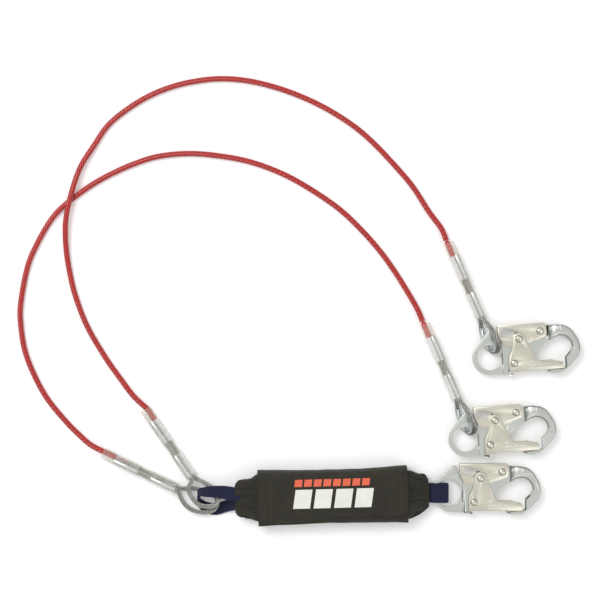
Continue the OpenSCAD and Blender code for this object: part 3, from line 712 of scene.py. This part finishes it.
def finish_of(name):
    """The named finish, made the first time that it is asked for."""
    found = bpy.data.materials.get(name)
    if found:
        return found
    c = colours()
    steel, canvas, webbing = tuple(c.steel), tuple(c.canvas), tuple(c.webbing)
    makers = {
        "Forged steel": lambda: metal("Forged steel", (0.56, 0.58, 0.54), 0.28, 1500.0, 0.1, 0.08),
        "Pressed steel": lambda: metal("Pressed steel", steel, 0.34, 2200.0, 0.25),
        "Rivet steel": lambda: metal("Rivet steel", scaled(steel, 0.95), 0.3, 900.0, 0.1),
        "Spring wire": lambda: metal("Spring wire", (0.40, 0.40, 0.39), 0.3),
        "Thimble sheet": lambda: metal("Thimble sheet", (0.74, 0.79, 0.80), 0.3),
        "Ferrule aluminium": lambda: metal("Ferrule aluminium", (0.84, 0.85, 0.86), 0.2, 700.0, 0.2, 0.06),
        "Stamping": lambda: metal("Stamping", (0.90, 0.92, 0.90), 0.5, 1500.0, 0.2, 0.1, 0.3),
        # The dark grooves between the wires are painted shade; the pale crests are the wires' own bright
        # tone.
        "Rope strands": lambda: stranded(
            "Rope strands", (0.26, 0.26, 0.23), (0.80, 0.80, 0.74), 14.0, 7, 0.3, 0.9, 0.8),
        # Near black: painted shade seen in the gaps between a rope's strands, not the core's own colour.
        "Shaded rope core": lambda: plain("Shaded rope core", (0.02, 0.02, 0.018), 0.7),
        "Clear sleeve": lambda: plain(
            "Clear sleeve", (0.72, 0.70, 0.58), 0.16, 0.1, 400.0, Alpha=0.14, Coat_Weight=1.0),
        "Cover canvas": lambda: cloth("Cover canvas", canvas, 0.0011, 0.6, 0.5, 1.5, 0.03),
        "Gathered canvas": lambda: cloth("Gathered canvas", canvas, 0.0011, 0.6, 0.5, 1.4, 0.03),
        "Navy webbing": lambda: cloth("Navy webbing", webbing, 0.0016, 0.0, 0.8, 1.7, 0.05),
        "Tear webbing": lambda: solid_cloth("Tear webbing", (0.70, 0.60, 0.34), 0.0016, 0.6),
        "Strap webbing": lambda: solid_cloth("Strap webbing", webbing, 0.0016, 0.6),
        "Closure tape": lambda: solid_cloth("Closure tape", (0.012, 0.012, 0.012), 0.0009, 1.0),
        "Label sheet": lambda: plain("Label sheet", (0.82, 0.82, 0.78), 0.6),
        "Cover thread": lambda: plain("Cover thread", scaled(canvas, 2.4), 0.7),
        "Pale thread": lambda: plain("Pale thread", scaled(webbing, 3.0), 0.6),
        "Warm ink": lambda: plain("Warm ink", tuple(c.print_warm), 0.6, 0.3),
        "Pale ink": lambda: plain("Pale ink", tuple(c.print_pale), 0.6, 0.3),
        "Floor": floor_finish,
    }
    return makers[name]()


def jacket_finish(leg, length):
    """Red vinyl over wire rope. The strands show through it, one turn each rope lay; the darker red
    between them is painted shade and the lighter orange-red on their crests is painted highlight.
    """
    base = tuple(colours().vinyl)
    return stranded("Red vinyl " + leg, scaled(base, 0.4), (0.66, 0.022, 0.012),
                    length / sizes().jacket_lay, 6, 0.24, 0.0, 1.0, 0.25)


# ---- Hooks ----

def hook_edge(hook):
    """How wide a hook forging's edges are rounded, by place."""
    inverse = hook_place(hook).inverted()

    def width(point):
        """The width at a point, in metres."""
        local = inverse @ (point / MM)
        if abs(local.z) > NOSE_FACE - 0.3 and local.x > NOSE_FROM:
            return sizes().nose_edge if local.y > TIP_BELOW else sizes().forging_edge * 0.7
        if MIDDLE_FROM < local.x <= NOSE_FROM and local.y < THROAT_TOP:
            return sizes().forging_edge * 1.6
        if abs(local.z) < EYE_HALF_T + 0.1 and local.x < EYE_BEFORE:
            return sizes().forging_edge
        if math.hypot(local.x, local.y) < 9:
            return 0.0
        if math.hypot(local.x - LEVER_PIVOT[0], local.y - LEVER_PIVOT[1]) < 8:
            return 0.0
        return sizes().sheet_edge

    return width


def nose_ease(hook):
    """How widely the corners of a hook's nose outline are rounded, by place."""
    inverse = hook_place(hook).inverted()

    def width(point):
        """The width at a point, in metres."""
        local = inverse @ (point / MM)
        if local.x > NOSE_FROM or (local.x > MIDDLE_FROM and local.y < THROAT_TOP):
            return OUTLINE_EASE
        return 0.0

    return width


def stamped_rows(name, hook, spots, face, body):
    """Small plain stamped bars on a hook's upper face: (x, y, length, width) in the hook's axes."""
    bm = bmesh.new()
    place = hook_place(hook)
    for x, y, long, wide in spots:
        made = bmesh.ops.create_cube(bm, size=1.0)["verts"]
        shape = Matrix.Translation((x, y, face)) @ Matrix.Diagonal((long, wide, 0.24, 1.0))
        bmesh.ops.transform(bm, matrix=place @ shape, verts=made)
    bmesh.ops.scale(bm, vec=(MM, MM, MM), verts=list(bm.verts))
    bmesh.ops.bevel(bm, geom=list(bm.edges), offset=0.00008, segments=1, profile=0.5,
                    affect="EDGES", clamp_overlap=True, material=-1)
    return finish_piece(mesh_object(name, bm, 30), finish_of("Stamping"), body)


class LANYARD_OT_hooks(bpy.types.Operator):
    """Round the edges of the three snap hooks and add their stamped rows"""

    bl_idname = "lanyard.hooks"
    bl_label = "Snap hooks"

    def execute(self, context):
        """Builds every piece of the hooks."""
        sheet = sizes().sheet_edge
        for hook in HOOKS:
            refined(hook + "_body", hook + "_forging", finish_of("Forged steel"), sheet, 3, 32,
                    hook_edge(hook), nose_ease(hook))
            refined(hook + "_gate", hook + "_gate_plate", finish_of("Pressed steel"), sheet)
            refined(hook + "_lock_lever", hook + "_lever_plate", finish_of("Pressed steel"), sheet)
            for rivet in ("gate_pivot", "gate_cross_pin", "lever_pivot"):
                refined(hook + "_" + rivet, hook + "_" + rivet + "_rivet", finish_of("Rivet steel"),
                        0.0002, 2, 50, dimple=0.0019)
            for spring in ("gate_spring", "lever_spring"):
                paint_node(hook + "_" + spring, finish_of("Spring wire"))
            rows = [(17.5 + 1.9 * i, -3.6, 1.2, 1.1) for i in range(14) if i not in (5, 9)]
            rows += [(17.5 + 1.9 * i, -6.9, 1.2, 0.9) for i in range(16) if i not in (4, 11)]
            rows += [(19.5, 2.4, 2.4, 0.5), (19.5, -0.2, 2.4, 0.5), (18.4, 1.1, 0.5, 2.4),
                     (20.6, 1.1, 0.5, 2.4)]
            stamped_rows(hook + "_gate_stamps", hook, rows, GATE_FACE, hook + "_gate")
            nose = [(46 + 2.0 * i, 38.4, 0.9, 3.4) for i in range(6)] + [(58.2, 38.2, 1.3, 4.6)]
            stamped_rows(hook + "_nose_stamps", hook, nose, NOSE_FACE, BODY_OF[hook + "_body"])
        return {"FINISHED"}


# ---- Cables, eyes, ferrules and sleeves ----

class LANYARD_OT_cables(bpy.types.Operator):
    """Lay the two jacketed wire rope legs along their routes"""

    bl_idname = "lanyard.cables"
    bl_label = "Jacketed legs"

    def execute(self, context):
        for leg in LEGS:
            line = evenly(cable_line(leg), 3.0)
            length = line_length(line) * MM
            cable = curve_object(leg + "_jacket", [line], JACKET_R, 5)
            finish_piece(cable, jacket_finish(leg, length), "pack", [leg + "_cable"])
            paint_node(leg + "_cable_end", plain(
                "Red vinyl end " + leg, tuple(colours().vinyl), 0.25, 0.2, 600.0, Coat_Weight=0.6))
        return {"FINISHED"}


def rope_lines(line, lay):
    """A wire rope along a line: its core's line, its six wound strands' lines and their radius."""
    pts = evenly(line, 1.6)
    strand_r = ROPE_R * 0.285
    wind_r = ROPE_R - strand_r
    tangent = (pts[1] - pts[0]).normalized()
    side = tangent.orthogonal().normalized()
    lines = [[] for _ in range(6)]
    gone = 0.0
    for i, point in enumerate(pts):
        ahead = heading(pts, i)
        side = (tangent.rotation_difference(ahead) @ side).normalized()
        tangent = ahead
        if i:
            gone += (point - pts[i - 1]).length
        for k, strand in enumerate(lines):
            angle = 2 * math.pi * (k / 6 + gone * MM / lay)
            turn = Matrix.Rotation(angle, 3, ahead)
            strand.append(point + (turn @ side) * wind_r)
    return pts, lines, strand_r


class LANYARD_OT_eyes(bpy.types.Operator):
    """Wind the wire rope of the four swaged eyes"""

    bl_idname = "lanyard.eyes"
    bl_label = "Rope eyes"

    def execute(self, context):
        """Builds the hook-end and the pack-end eyes."""
        for leg in LEGS:
            place = fitting_place(HOOK_END[leg])
            eyes = {
                leg + "_hook_eye_rope": [place @ p for p in hook_eye_line()],
                leg + "_pack_eye_rope": pack_eye_line(leg),
            }
            for node, line in eyes.items():
                middle, lines, strand_r = rope_lines(line, sizes().rope_lay)
                rope = curve_object(node.replace("eye_rope", "eye_strands"), lines, strand_r, 2)
                finish_piece(rope, finish_of("Rope strands"), BODY_OF[node], [node])
                # A near-black cord inside the strands, which paints the shade in the gaps between them.
                core = curve_object(node.replace("eye_rope", "eye_shaded_core"), [middle], ROPE_R * 0.6, 2)
                finish_piece(core, finish_of("Shaded rope core"), BODY_OF[node])
        return {"FINISHED"}


def thimble_loft(leg):
    """A sheet channel round the hook-end rope, open away from the eye's middle."""
    place = fitting_place(HOOK_END[leg])
    whole = hook_eye_line()
    path = evenly(whole[8:len(whole) - 8], 1.2)
    spread, inner, outer = math.radians(78), ROPE_R + 0.15, ROPE_R + 0.75

    def ring(i, t):
        """Where a point of the channel's section lies: its outside, then its inside."""
        ahead = heading(path, i)
        inward = Vector((ahead.y, -ahead.x, 0))
        step = round(t * 32)
        share = step / 15 if step < 16 else (31 - step) / 15
        radius = (outer if step < 16 else inner) + 0.2 * abs(2 * share - 1) ** 8
        angle = spread * (2 * share - 1)
        return place @ (path[i] + inward * radius * math.cos(angle)
                        + Vector((0, 0, radius * math.sin(angle))))

    sheet = loft(leg + "_thimble_sheet", range(len(path)), ring, 32, True, 45)
    node = leg + "_thimble"
    return finish_piece(sheet, finish_of("Thimble sheet"), BODY_OF[node], [node])


def sleeve_place(fitting):
    """Where a sleeve's ring points lie: a flattened tube that necks in between the ferrules."""
    place = fitting_place(fitting)

    def ring(x, t):
        """Where a point of the sleeve's ring lies."""
        gap = (x + FERRULE_LEN + 9) / 9
        neck = max(0.0, 1 - gap * gap)
        flare = max(0.0, (-FITTING_LEN - x) / SLEEVE_MOUTH)
        radius = 5.2 - 1.0 * neck - 0.3 * flare
        spread = STRAND * (1 - 0.12 * neck) + 0.5 * flare
        angle = 2 * math.pi * t
        y = radius * math.cos(angle) + spread * max(-1.0, min(1.0, 4 * math.cos(angle)))
        return place @ Vector((x, y, radius * math.sin(angle) * (1 - 0.1 * flare)))

    return ring


class LANYARD_OT_fittings(bpy.types.Operator):
    """Finish the thimbles and ferrules and shrink the clear sleeves over them"""

    bl_idname = "lanyard.fittings"
    bl_label = "Ferrules, thimbles and sleeves"

    def execute(self, context):
        """Builds the fittings at both ends of each leg."""
        stations = [-97 + 1.0 * i for i in range(101)]
        for leg in LEGS:
            thimble_loft(leg)
            for end, fitting in (("hook", HOOK_END[leg]), ("pack", PACK_END[leg])):
                stem = f"{leg}_{end}_end_"
                refined(stem + "ferrules", stem + "swages", finish_of("Ferrule aluminium"),
                        0.0006, 3, 50)
                ends = stations if end == "hook" else [s for s in stations if s <= 4]
                sleeve = loft(stem + "clear_sleeve", ends, sleeve_place(fitting), 28)
                thicken(sleeve, 0.0007)
                finish_piece(sleeve, finish_of("Clear sleeve"), BODY_OF[stem + "sleeve"],
                             [stem + "sleeve"])
        return {"FINISHED"}


# ---- Webbing loops ----

def strap_section(t, width, thickness):
    """A point round a strap's section, width then thickness."""
    return rounded_section(t, width / 2, thickness / 2, thickness * 0.45)


class LANYARD_OT_webbing(bpy.types.Operator):
    """Weave the two navy webbing loops"""

    bl_idname = "lanyard.webbing"
    bl_label = "Webbing loops"

    def execute(self, context):
        """Builds the loop round the rope eyes and the loop on the harness hook."""
        line = smooth_line([s[0] for s in CABLE_LOOP], 6)
        ways = smooth_line([s[1] for s in CABLE_LOOP], 6)
        shapes = smooth_line([(s[2], s[3], 0) for s in CABLE_LOOP], 6)

        def place(i, t):
            """Where a point of the strap's ring lies."""
            ahead = heading(line, i)
            across = (ways[i] - ahead * ways[i].dot(ahead)).normalized()
            a, b = strap_section(t, shapes[i].x, shapes[i].y)
            crown = 0.5 * math.cos(math.pi * a / shapes[i].x) * (1 if b > 0 else -1)
            return line[i] + across * a + ahead.cross(across) * (b + crown * 0.4)

        loop = loft("cable_side_webbing", range(len(line)), place, 40, True)
        finish_piece(loop, finish_of("Navy webbing"), "pack", ["cable_side_loop"])
        self.hook_side()
        return {"FINISHED"}

    def hook_side(self):
        """Builds the flat loop through the harness hook's eye, as one band folded over the eye's bar."""
        (hook_x, hook_y, hook_z), _ = HOOK_AT["harness_hook"]
        middle_y, start_x, fold_x, reach = hook_y + 10.4, 107.0, hook_x - 35.2, 4.6
        width, thickness = 23.4, 2.2
        rise = [(start_x, 1.5), (start_x + 4, 3.8), (start_x + 8, reach), (fold_x - 3, reach)]
        fold = [(fold_x + reach * math.sin(a), reach * math.cos(a))
                for a in (math.radians(12 * i) for i in range(16))]
        fall = [(x, -z) for x, z in reversed(rise)]
        path = evenly([Vector((x, middle_y, hook_z + z)) for x, z in rise + fold + fall], 0.8)

        def place(i, t):
            """Where a point of the strap's ring lies."""
            ahead = heading(path, i)
            across = Vector((0, 1, 0))
            a, b = strap_section(t, width, thickness)
            return path[i] + across * a + ahead.cross(across) * b

        loop = loft("hook_side_webbing", range(len(path)), place, 32, True)
        finish_piece(loop, finish_of("Navy webbing"), "harness_hook",
                     ["hook_side_loop"])


# ---- Absorber pack ----

def fold_line(x):
    """How far from the middle the lower fold lies, along the wrap."""
    u = max(0.0, min(1.0, (x + 55) / 65))
    return -31.5 + 4.3 * u * u * (3 - 2 * u)


def wrap_point(x, t):
    """A point of the outer wrap's surface, in the pack's axes."""
    share = x / WRAP_HALF
    flare = 1.5 * max(0.0, (x - 20) / 69) ** 2
    width = 30.9 + 1.9 * share * share
    y, z = rounded_section(t, width, 15.6, 9.5)
    if y > 0:
        y += (0.4 + flare) * min(1.0, y / width)
    top = z > 0
    crown = 1.0 - (y / 34.0) ** 2
    z += (1.5 if top else -0.6) * crown * (1 - 0.25 * share * share)
    ripple = noise.noise(Vector((x * 0.035, y * 0.05, z * 0.06 + 3.0)))
    edge = 0.5 + 0.5 * abs(share) ** 3
    z += ripple * 1.5 * edge * (1 if top else 0.2)
    if top:
        crease = noise.noise(Vector((x * 0.09 + 5.0, y * 0.035, 7.0)))
        z -= 0.9 * max(0.0, 1 - abs(crease) * 9) * (0.1 + 0.9 * abs(share) ** 2)
    y += noise.noise(Vector((x * 0.05 + 9.0, z * 0.06, 1.0))) * 0.6
    if top:
        off = y - fold_line(x)
        z -= 1.9 * math.exp(-((off - 2.4) / 1.7) ** 2)
        z += 0.9 * math.exp(-((off + 0.6) / 1.3) ** 2)
        z -= 0.5 * math.exp(-((abs(x) - 85.5) / 0.9) ** 2)
    return Vector((x, y, max(0.4, z + 17.3)))


def wrap_top(x, y):
    """The height of the wrap's upper face over a place, by bisection round the section."""
    low, high = 0.12, 0.38
    for _ in range(26):
        middle = (low + high) / 2
        if wrap_point(x, middle).y > y:
            low = middle
        else:
            high = middle
    return wrap_point(x, low).z


class LANYARD_OT_wrap(bpy.types.Operator):
    """Shape the outer wrap of the absorber pack"""

    bl_idname = "lanyard.wrap"
    bl_label = "Outer wrap"

    def execute(self, context):
        """Builds the wrap as one fabric tube with hemmed ends."""
        stations = [-WRAP_HALF + 2 * WRAP_HALF * i / 110 for i in range(111)]
        wrap = loft("cover_wrap", stations, lambda x, t: PACK_PLACE @ wrap_point(x, t), 150, False, 80)
        thicken(wrap, 0.0014)
        edge = wrap.modifiers.new("Hem roundness", "BEVEL")
        edge.width = 0.0005
        edge.segments = 2
        edge.limit_method = "ANGLE"
        edge.angle_limit = math.radians(60)
        finish_piece(wrap, finish_of("Cover canvas"), "pack", ["outer_wrap"])
        return {"FINISHED"}


def gathered_end(side):
    """Where the ring points of a gathered end lie: side is -1 at the cables, 1 at the hook."""
    shapes = {
        -1: [(70, 29.0, 13.6, 17.0, 0.0), (88, 28.2, 13.4, 16.8, 0.3), (94, 26.0, 12.6, 16.4, 1.0),
             (101, 23.2, 11.6, 16.2, 1.2), (107, 22.0, 10.8, 16.0, 1.1), (112, 20.6, 10.0, 16.0, 1.0),
             (115.5, 17.6, 8.6, 16.0, 0.7), (116.5, 15.5, 7.4, 16.0, 0.4), (114.5, 14.0, 6.6, 16.0, 0.2),
             (104, 13.4, 6.2, 16.0, 0.0)],
        1: [(70, 29.6, 13.8, 17.0, 0.0), (87, 29.2, 13.8, 16.6, 0.3), (93, 28.4, 13.2, 15.6, 0.9),
            (99, 26.4, 12.0, 14.2, 1.2), (105, 23.4, 10.4, 12.8, 1.2), (110.5, 20.4, 8.8, 11.6, 1.0),
            (114, 17.4, 8.3, 11.2, 0.5), (115, 15.4, 7.7, 11.2, 0.2), (113.4, 14.0, 7.2, 11.2, 0.1),
            (103, 13.4, 7.0, 11.2, 0.0)],
    }[side]
    line = smooth_line([s[:3] for s in shapes], 6)
    rest = smooth_line([(s[3], s[4], 0) for s in shapes], 6)

    def place(i, t):
        """Where a point of the gathered ring lies."""
        x, half_w, half_h = line[i]
        middle, pleat = rest[i].x, rest[i].y
        y, z = rounded_section(t, half_w, half_h, min(half_h * 0.92, half_w * 0.9))
        turn = 2 * math.pi * t
        wave = math.sin(9 * turn + 0.05 * x + side) + 0.6 * math.sin(17 * turn - 0.11 * x)
        wave += 2.6 * noise.noise(Vector((math.cos(turn) * 1.6, math.sin(turn) * 1.6, x * 0.07 + side)))
        fold = noise.noise(Vector((math.cos(turn) * 2.4, math.sin(turn) * 2.4, x * 0.035 + 4 * side)))
        wave -= 2.4 * max(0.0, 1 - abs(fold) * 5)
        out = Vector((0, y / half_w, z / half_h)).normalized() * wave * pleat * 1.05
        return PACK_PLACE @ Vector((side * x, y + out.y, max(0.8, middle + z + out.z)))

    return place, len(line)


class LANYARD_OT_bag(bpy.types.Operator):
    """Gather the two ends of the inner bag round the webbing"""

    bl_idname = "lanyard.bag"
    bl_label = "Gathered bag ends"

    def execute(self, context):
        """Builds each end as its own gathered tube, both in place of the inner bag."""
        for side, name in ((-1, "bag_end_cables"), (1, "bag_end_hook")):
            place, count = gathered_end(side)
            end = loft(name, range(count), place, 128, False, 80)
            thicken(end, 0.001)
            finish_piece(end, finish_of("Gathered canvas"), "pack",
                         ["inner_bag"] if side < 0 else ())
        return {"FINISHED"}


def stitch_rows(name, rows, material):
    """Rows of short stitches on the wrap: each row is (x, y from, y to)."""
    bm = bmesh.new()
    pitch = sizes().stitch_pitch / MM
    for x, low, high in rows:
        count = int((high - low) / pitch)
        for i in range(count):
            y = low + (i + 0.5) * pitch
            spot = Vector((x, y, 0))
            spot.z = wrap_top(spot.x, spot.y) + 0.05
            made = bmesh.ops.create_icosphere(bm, subdivisions=1, radius=1.0)["verts"]
            shape = Matrix.Translation(spot) @ Matrix.Diagonal((0.42, pitch * 0.36, 0.28, 1.0))
            bmesh.ops.transform(bm, matrix=PACK_PLACE @ shape, verts=made)
    bmesh.ops.scale(bm, vec=(MM, MM, MM), verts=list(bm.verts))
    return finish_piece(mesh_object(name, bm, 180), material, "pack")


class LANYARD_OT_stitches(bpy.types.Operator):
    """Sew the pairs of stitch rows at both ends of the wrap"""

    bl_idname = "lanyard.stitches"
    bl_label = "Stitches"

    def execute(self, context):
        """Builds two pairs of rows at the cable side and one pair at the hook side."""
        rows = [(x, -27, 27) for x in (-84.2, -81.6, -75.2, -73.0)]
        stitch_rows("cable_side_stitches", rows, finish_of("Cover thread"))
        rows = [(x, -27, 28) for x in (80.4, 82.8)]
        stitch_rows("hook_side_stitches", rows, finish_of("Cover thread"))
        return {"FINISHED"}


def printed_blocks(name, blocks, material):
    """Flat slanted blocks of ink on the wrap: each is (x from, x to, y from, y to)."""
    bm = bmesh.new()
    slant = 0.16
    for x0, x1, y0, y1 in blocks:
        made = bmesh.ops.create_grid(bm, x_segments=30, y_segments=26, size=0.5)["verts"]
        for v in made:
            y = y0 + (v.co.y + 0.5) * (y1 - y0)
            x = x0 + (v.co.x + 0.5) * (x1 - x0) + slant * (y - y0)
            v.co = (PACK_PLACE @ Vector((x, y, wrap_top(x, y) + 0.32))) * MM
    piece = mesh_object(name, bm, 60)
    return finish_piece(piece, material, "pack")


class LANYARD_OT_print(bpy.types.Operator):
    """Print a plain mark of slanted blocks on the wrap"""

    bl_idname = "lanyard.print"
    bl_label = "Printed mark"

    def execute(self, context):
        """Builds a warm row of narrow bars over a pale row of broad ones."""
        warm = [(-45.5 + 11.4 * i, -36.5 + 11.4 * i, 14.2, 22.6) for i in range(8)]
        pale = [(-47.5 + 24.2 * i, -27.5 + 24.2 * i, -11.6, 10.8) for i in range(4)]
        printed_blocks("printed_bars_warm", warm, finish_of("Warm ink"))
        printed_blocks("printed_bars_pale", pale, finish_of("Pale ink"))
        return {"FINISHED"}


class LANYARD_OT_inside(bpy.types.Operator):
    """Finish the pieces that lie inside and under the pack"""

    bl_idname = "lanyard.inside"
    bl_label = "Inside the pack"

    def execute(self, context):
        """Gives the CAD pieces inside the cover their materials."""
        finishes = {
            "tear_webbing": "Tear webbing", "backup_strap": "Strap webbing",
            "label_booklet": "Label sheet", "wrap_closure_strips": "Closure tape",
        }
        for node, name in finishes.items():
            paint_node(node, finish_of(name))
        return {"FINISHED"}


# ---- Stage ----

class LANYARD_OT_stage(bpy.types.Operator):
    """Set up the floor, the light and the camera straight above"""

    bl_idname = "lanyard.stage"
    bl_label = "Stage"

    def execute(self, context):
        """Builds what the lanyard is shown on and by."""
        bm = bmesh.new()
        bmesh.ops.create_grid(bm, x_segments=1, y_segments=1, size=4.0)
        bmesh.ops.translate(bm, vec=(0, 0, -0.0004), verts=list(bm.verts))
        floor = mesh_object("floor", bm)
        floor.data.materials.append(finish_of("Floor"))
        self.camera(context.scene)
        self.lights(context.scene)
        return {"FINISHED"}

    def camera(self, scene):
        """A long lens looking straight down, as wide as the whole lanyard."""
        data = bpy.data.cameras.new("Camera")
        data.lens = 90.0
        data.sensor_width = 36.0
        data.clip_end = 20.0
        camera = add_object("Camera", data)
        width = 0.72
        camera.location = (-0.048, 0.0978, width * data.lens / data.sensor_width + 0.008)
        scene.camera = camera

    def lights(self, scene):
        """A broad soft key from the upper left, a weak fill, and a pale sky that dims at its rim."""
        for name, place, size, power in (
                ("Key", (-0.9, 0.9, 2.2), 1.1, 26.0), ("Fill", (1.3, -0.8, 1.8), 1.0, 5.0)):
            data = bpy.data.lights.new(name, "AREA")
            data.size = size
            data.energy = power
            light = add_object(name, data)
            light.location = place
            aim = Vector((0, 0.1, 0)) - Vector(place)
            light.rotation_euler = aim.to_track_quat("-Z", "Y").to_euler()
        world = bpy.data.worlds.new("Sky")
        world.use_nodes = True
        tree = world.node_tree
        coords = tree.nodes.new("ShaderNodeTexCoord")
        split = tree.nodes.new("ShaderNodeSeparateXYZ")
        ramp = tree.nodes.new("ShaderNodeValToRGB")
        ramp.color_ramp.elements[0].position = 0.15
        ramp.color_ramp.elements[0].color = (0.10, 0.10, 0.11, 1)
        ramp.color_ramp.elements[1].position = 0.85
        ramp.color_ramp.elements[1].color = (1.0, 1.0, 1.0, 1)
        tree.links.new(coords.outputs["Generated"], split.inputs[0])
        tree.links.new(split.outputs[2], ramp.inputs[0])
        tree.links.new(ramp.outputs[0], tree.nodes["Background"].inputs["Color"])
        tree.nodes["Background"].inputs["Strength"].default_value = 0.85
        scene.world = world
        scene.view_settings.view_transform = "Standard"


OPERATORS = (
    LANYARD_OT_stage, LANYARD_OT_cables, LANYARD_OT_eyes, LANYARD_OT_fittings, LANYARD_OT_hooks,
    LANYARD_OT_webbing, LANYARD_OT_bag, LANYARD_OT_wrap, LANYARD_OT_stitches, LANYARD_OT_print,
    LANYARD_OT_inside,
)


class LANYARD_PT_panel(bpy.types.Panel):
    """The lanyard's settings and steps"""

    bl_label = "Lanyard"
    bl_idname = "LANYARD_PT_panel"
    bl_space_type = "VIEW_3D"
    bl_region_type = "UI"
    bl_category = "Lanyard"

    def draw(self, context):
        """Lists the settings, then a button for each step."""
        for group in (context.scene.lanyard_sizes, context.scene.lanyard_colours):
            for name in group.__annotations__:
                self.layout.prop(group, name)
        for operator in OPERATORS:
            self.layout.operator(operator.bl_idname)


CLASSES = (LanyardSizes, LanyardColours, *OPERATORS, LANYARD_PT_panel)


def register():
    """Adds the classes and the settings."""
    for cls in CLASSES:
        bpy.utils.register_class(cls)
    bpy.types.Scene.lanyard_sizes = bpy.props.PointerProperty(type=LanyardSizes)
    bpy.types.Scene.lanyard_colours = bpy.props.PointerProperty(type=LanyardColours)


def unregister():
    """Takes the classes and the settings away."""
    del bpy.types.Scene.lanyard_sizes
    del bpy.types.Scene.lanyard_colours
    for cls in reversed(CLASSES):
        bpy.utils.unregister_class(cls)


def main():
    """Builds everything in order."""
    register()
    for operator in OPERATORS:
        group, name = operator.bl_idname.split(".")
        getattr(getattr(bpy.ops, group), name)()


if __name__ == "__main__":
    main()
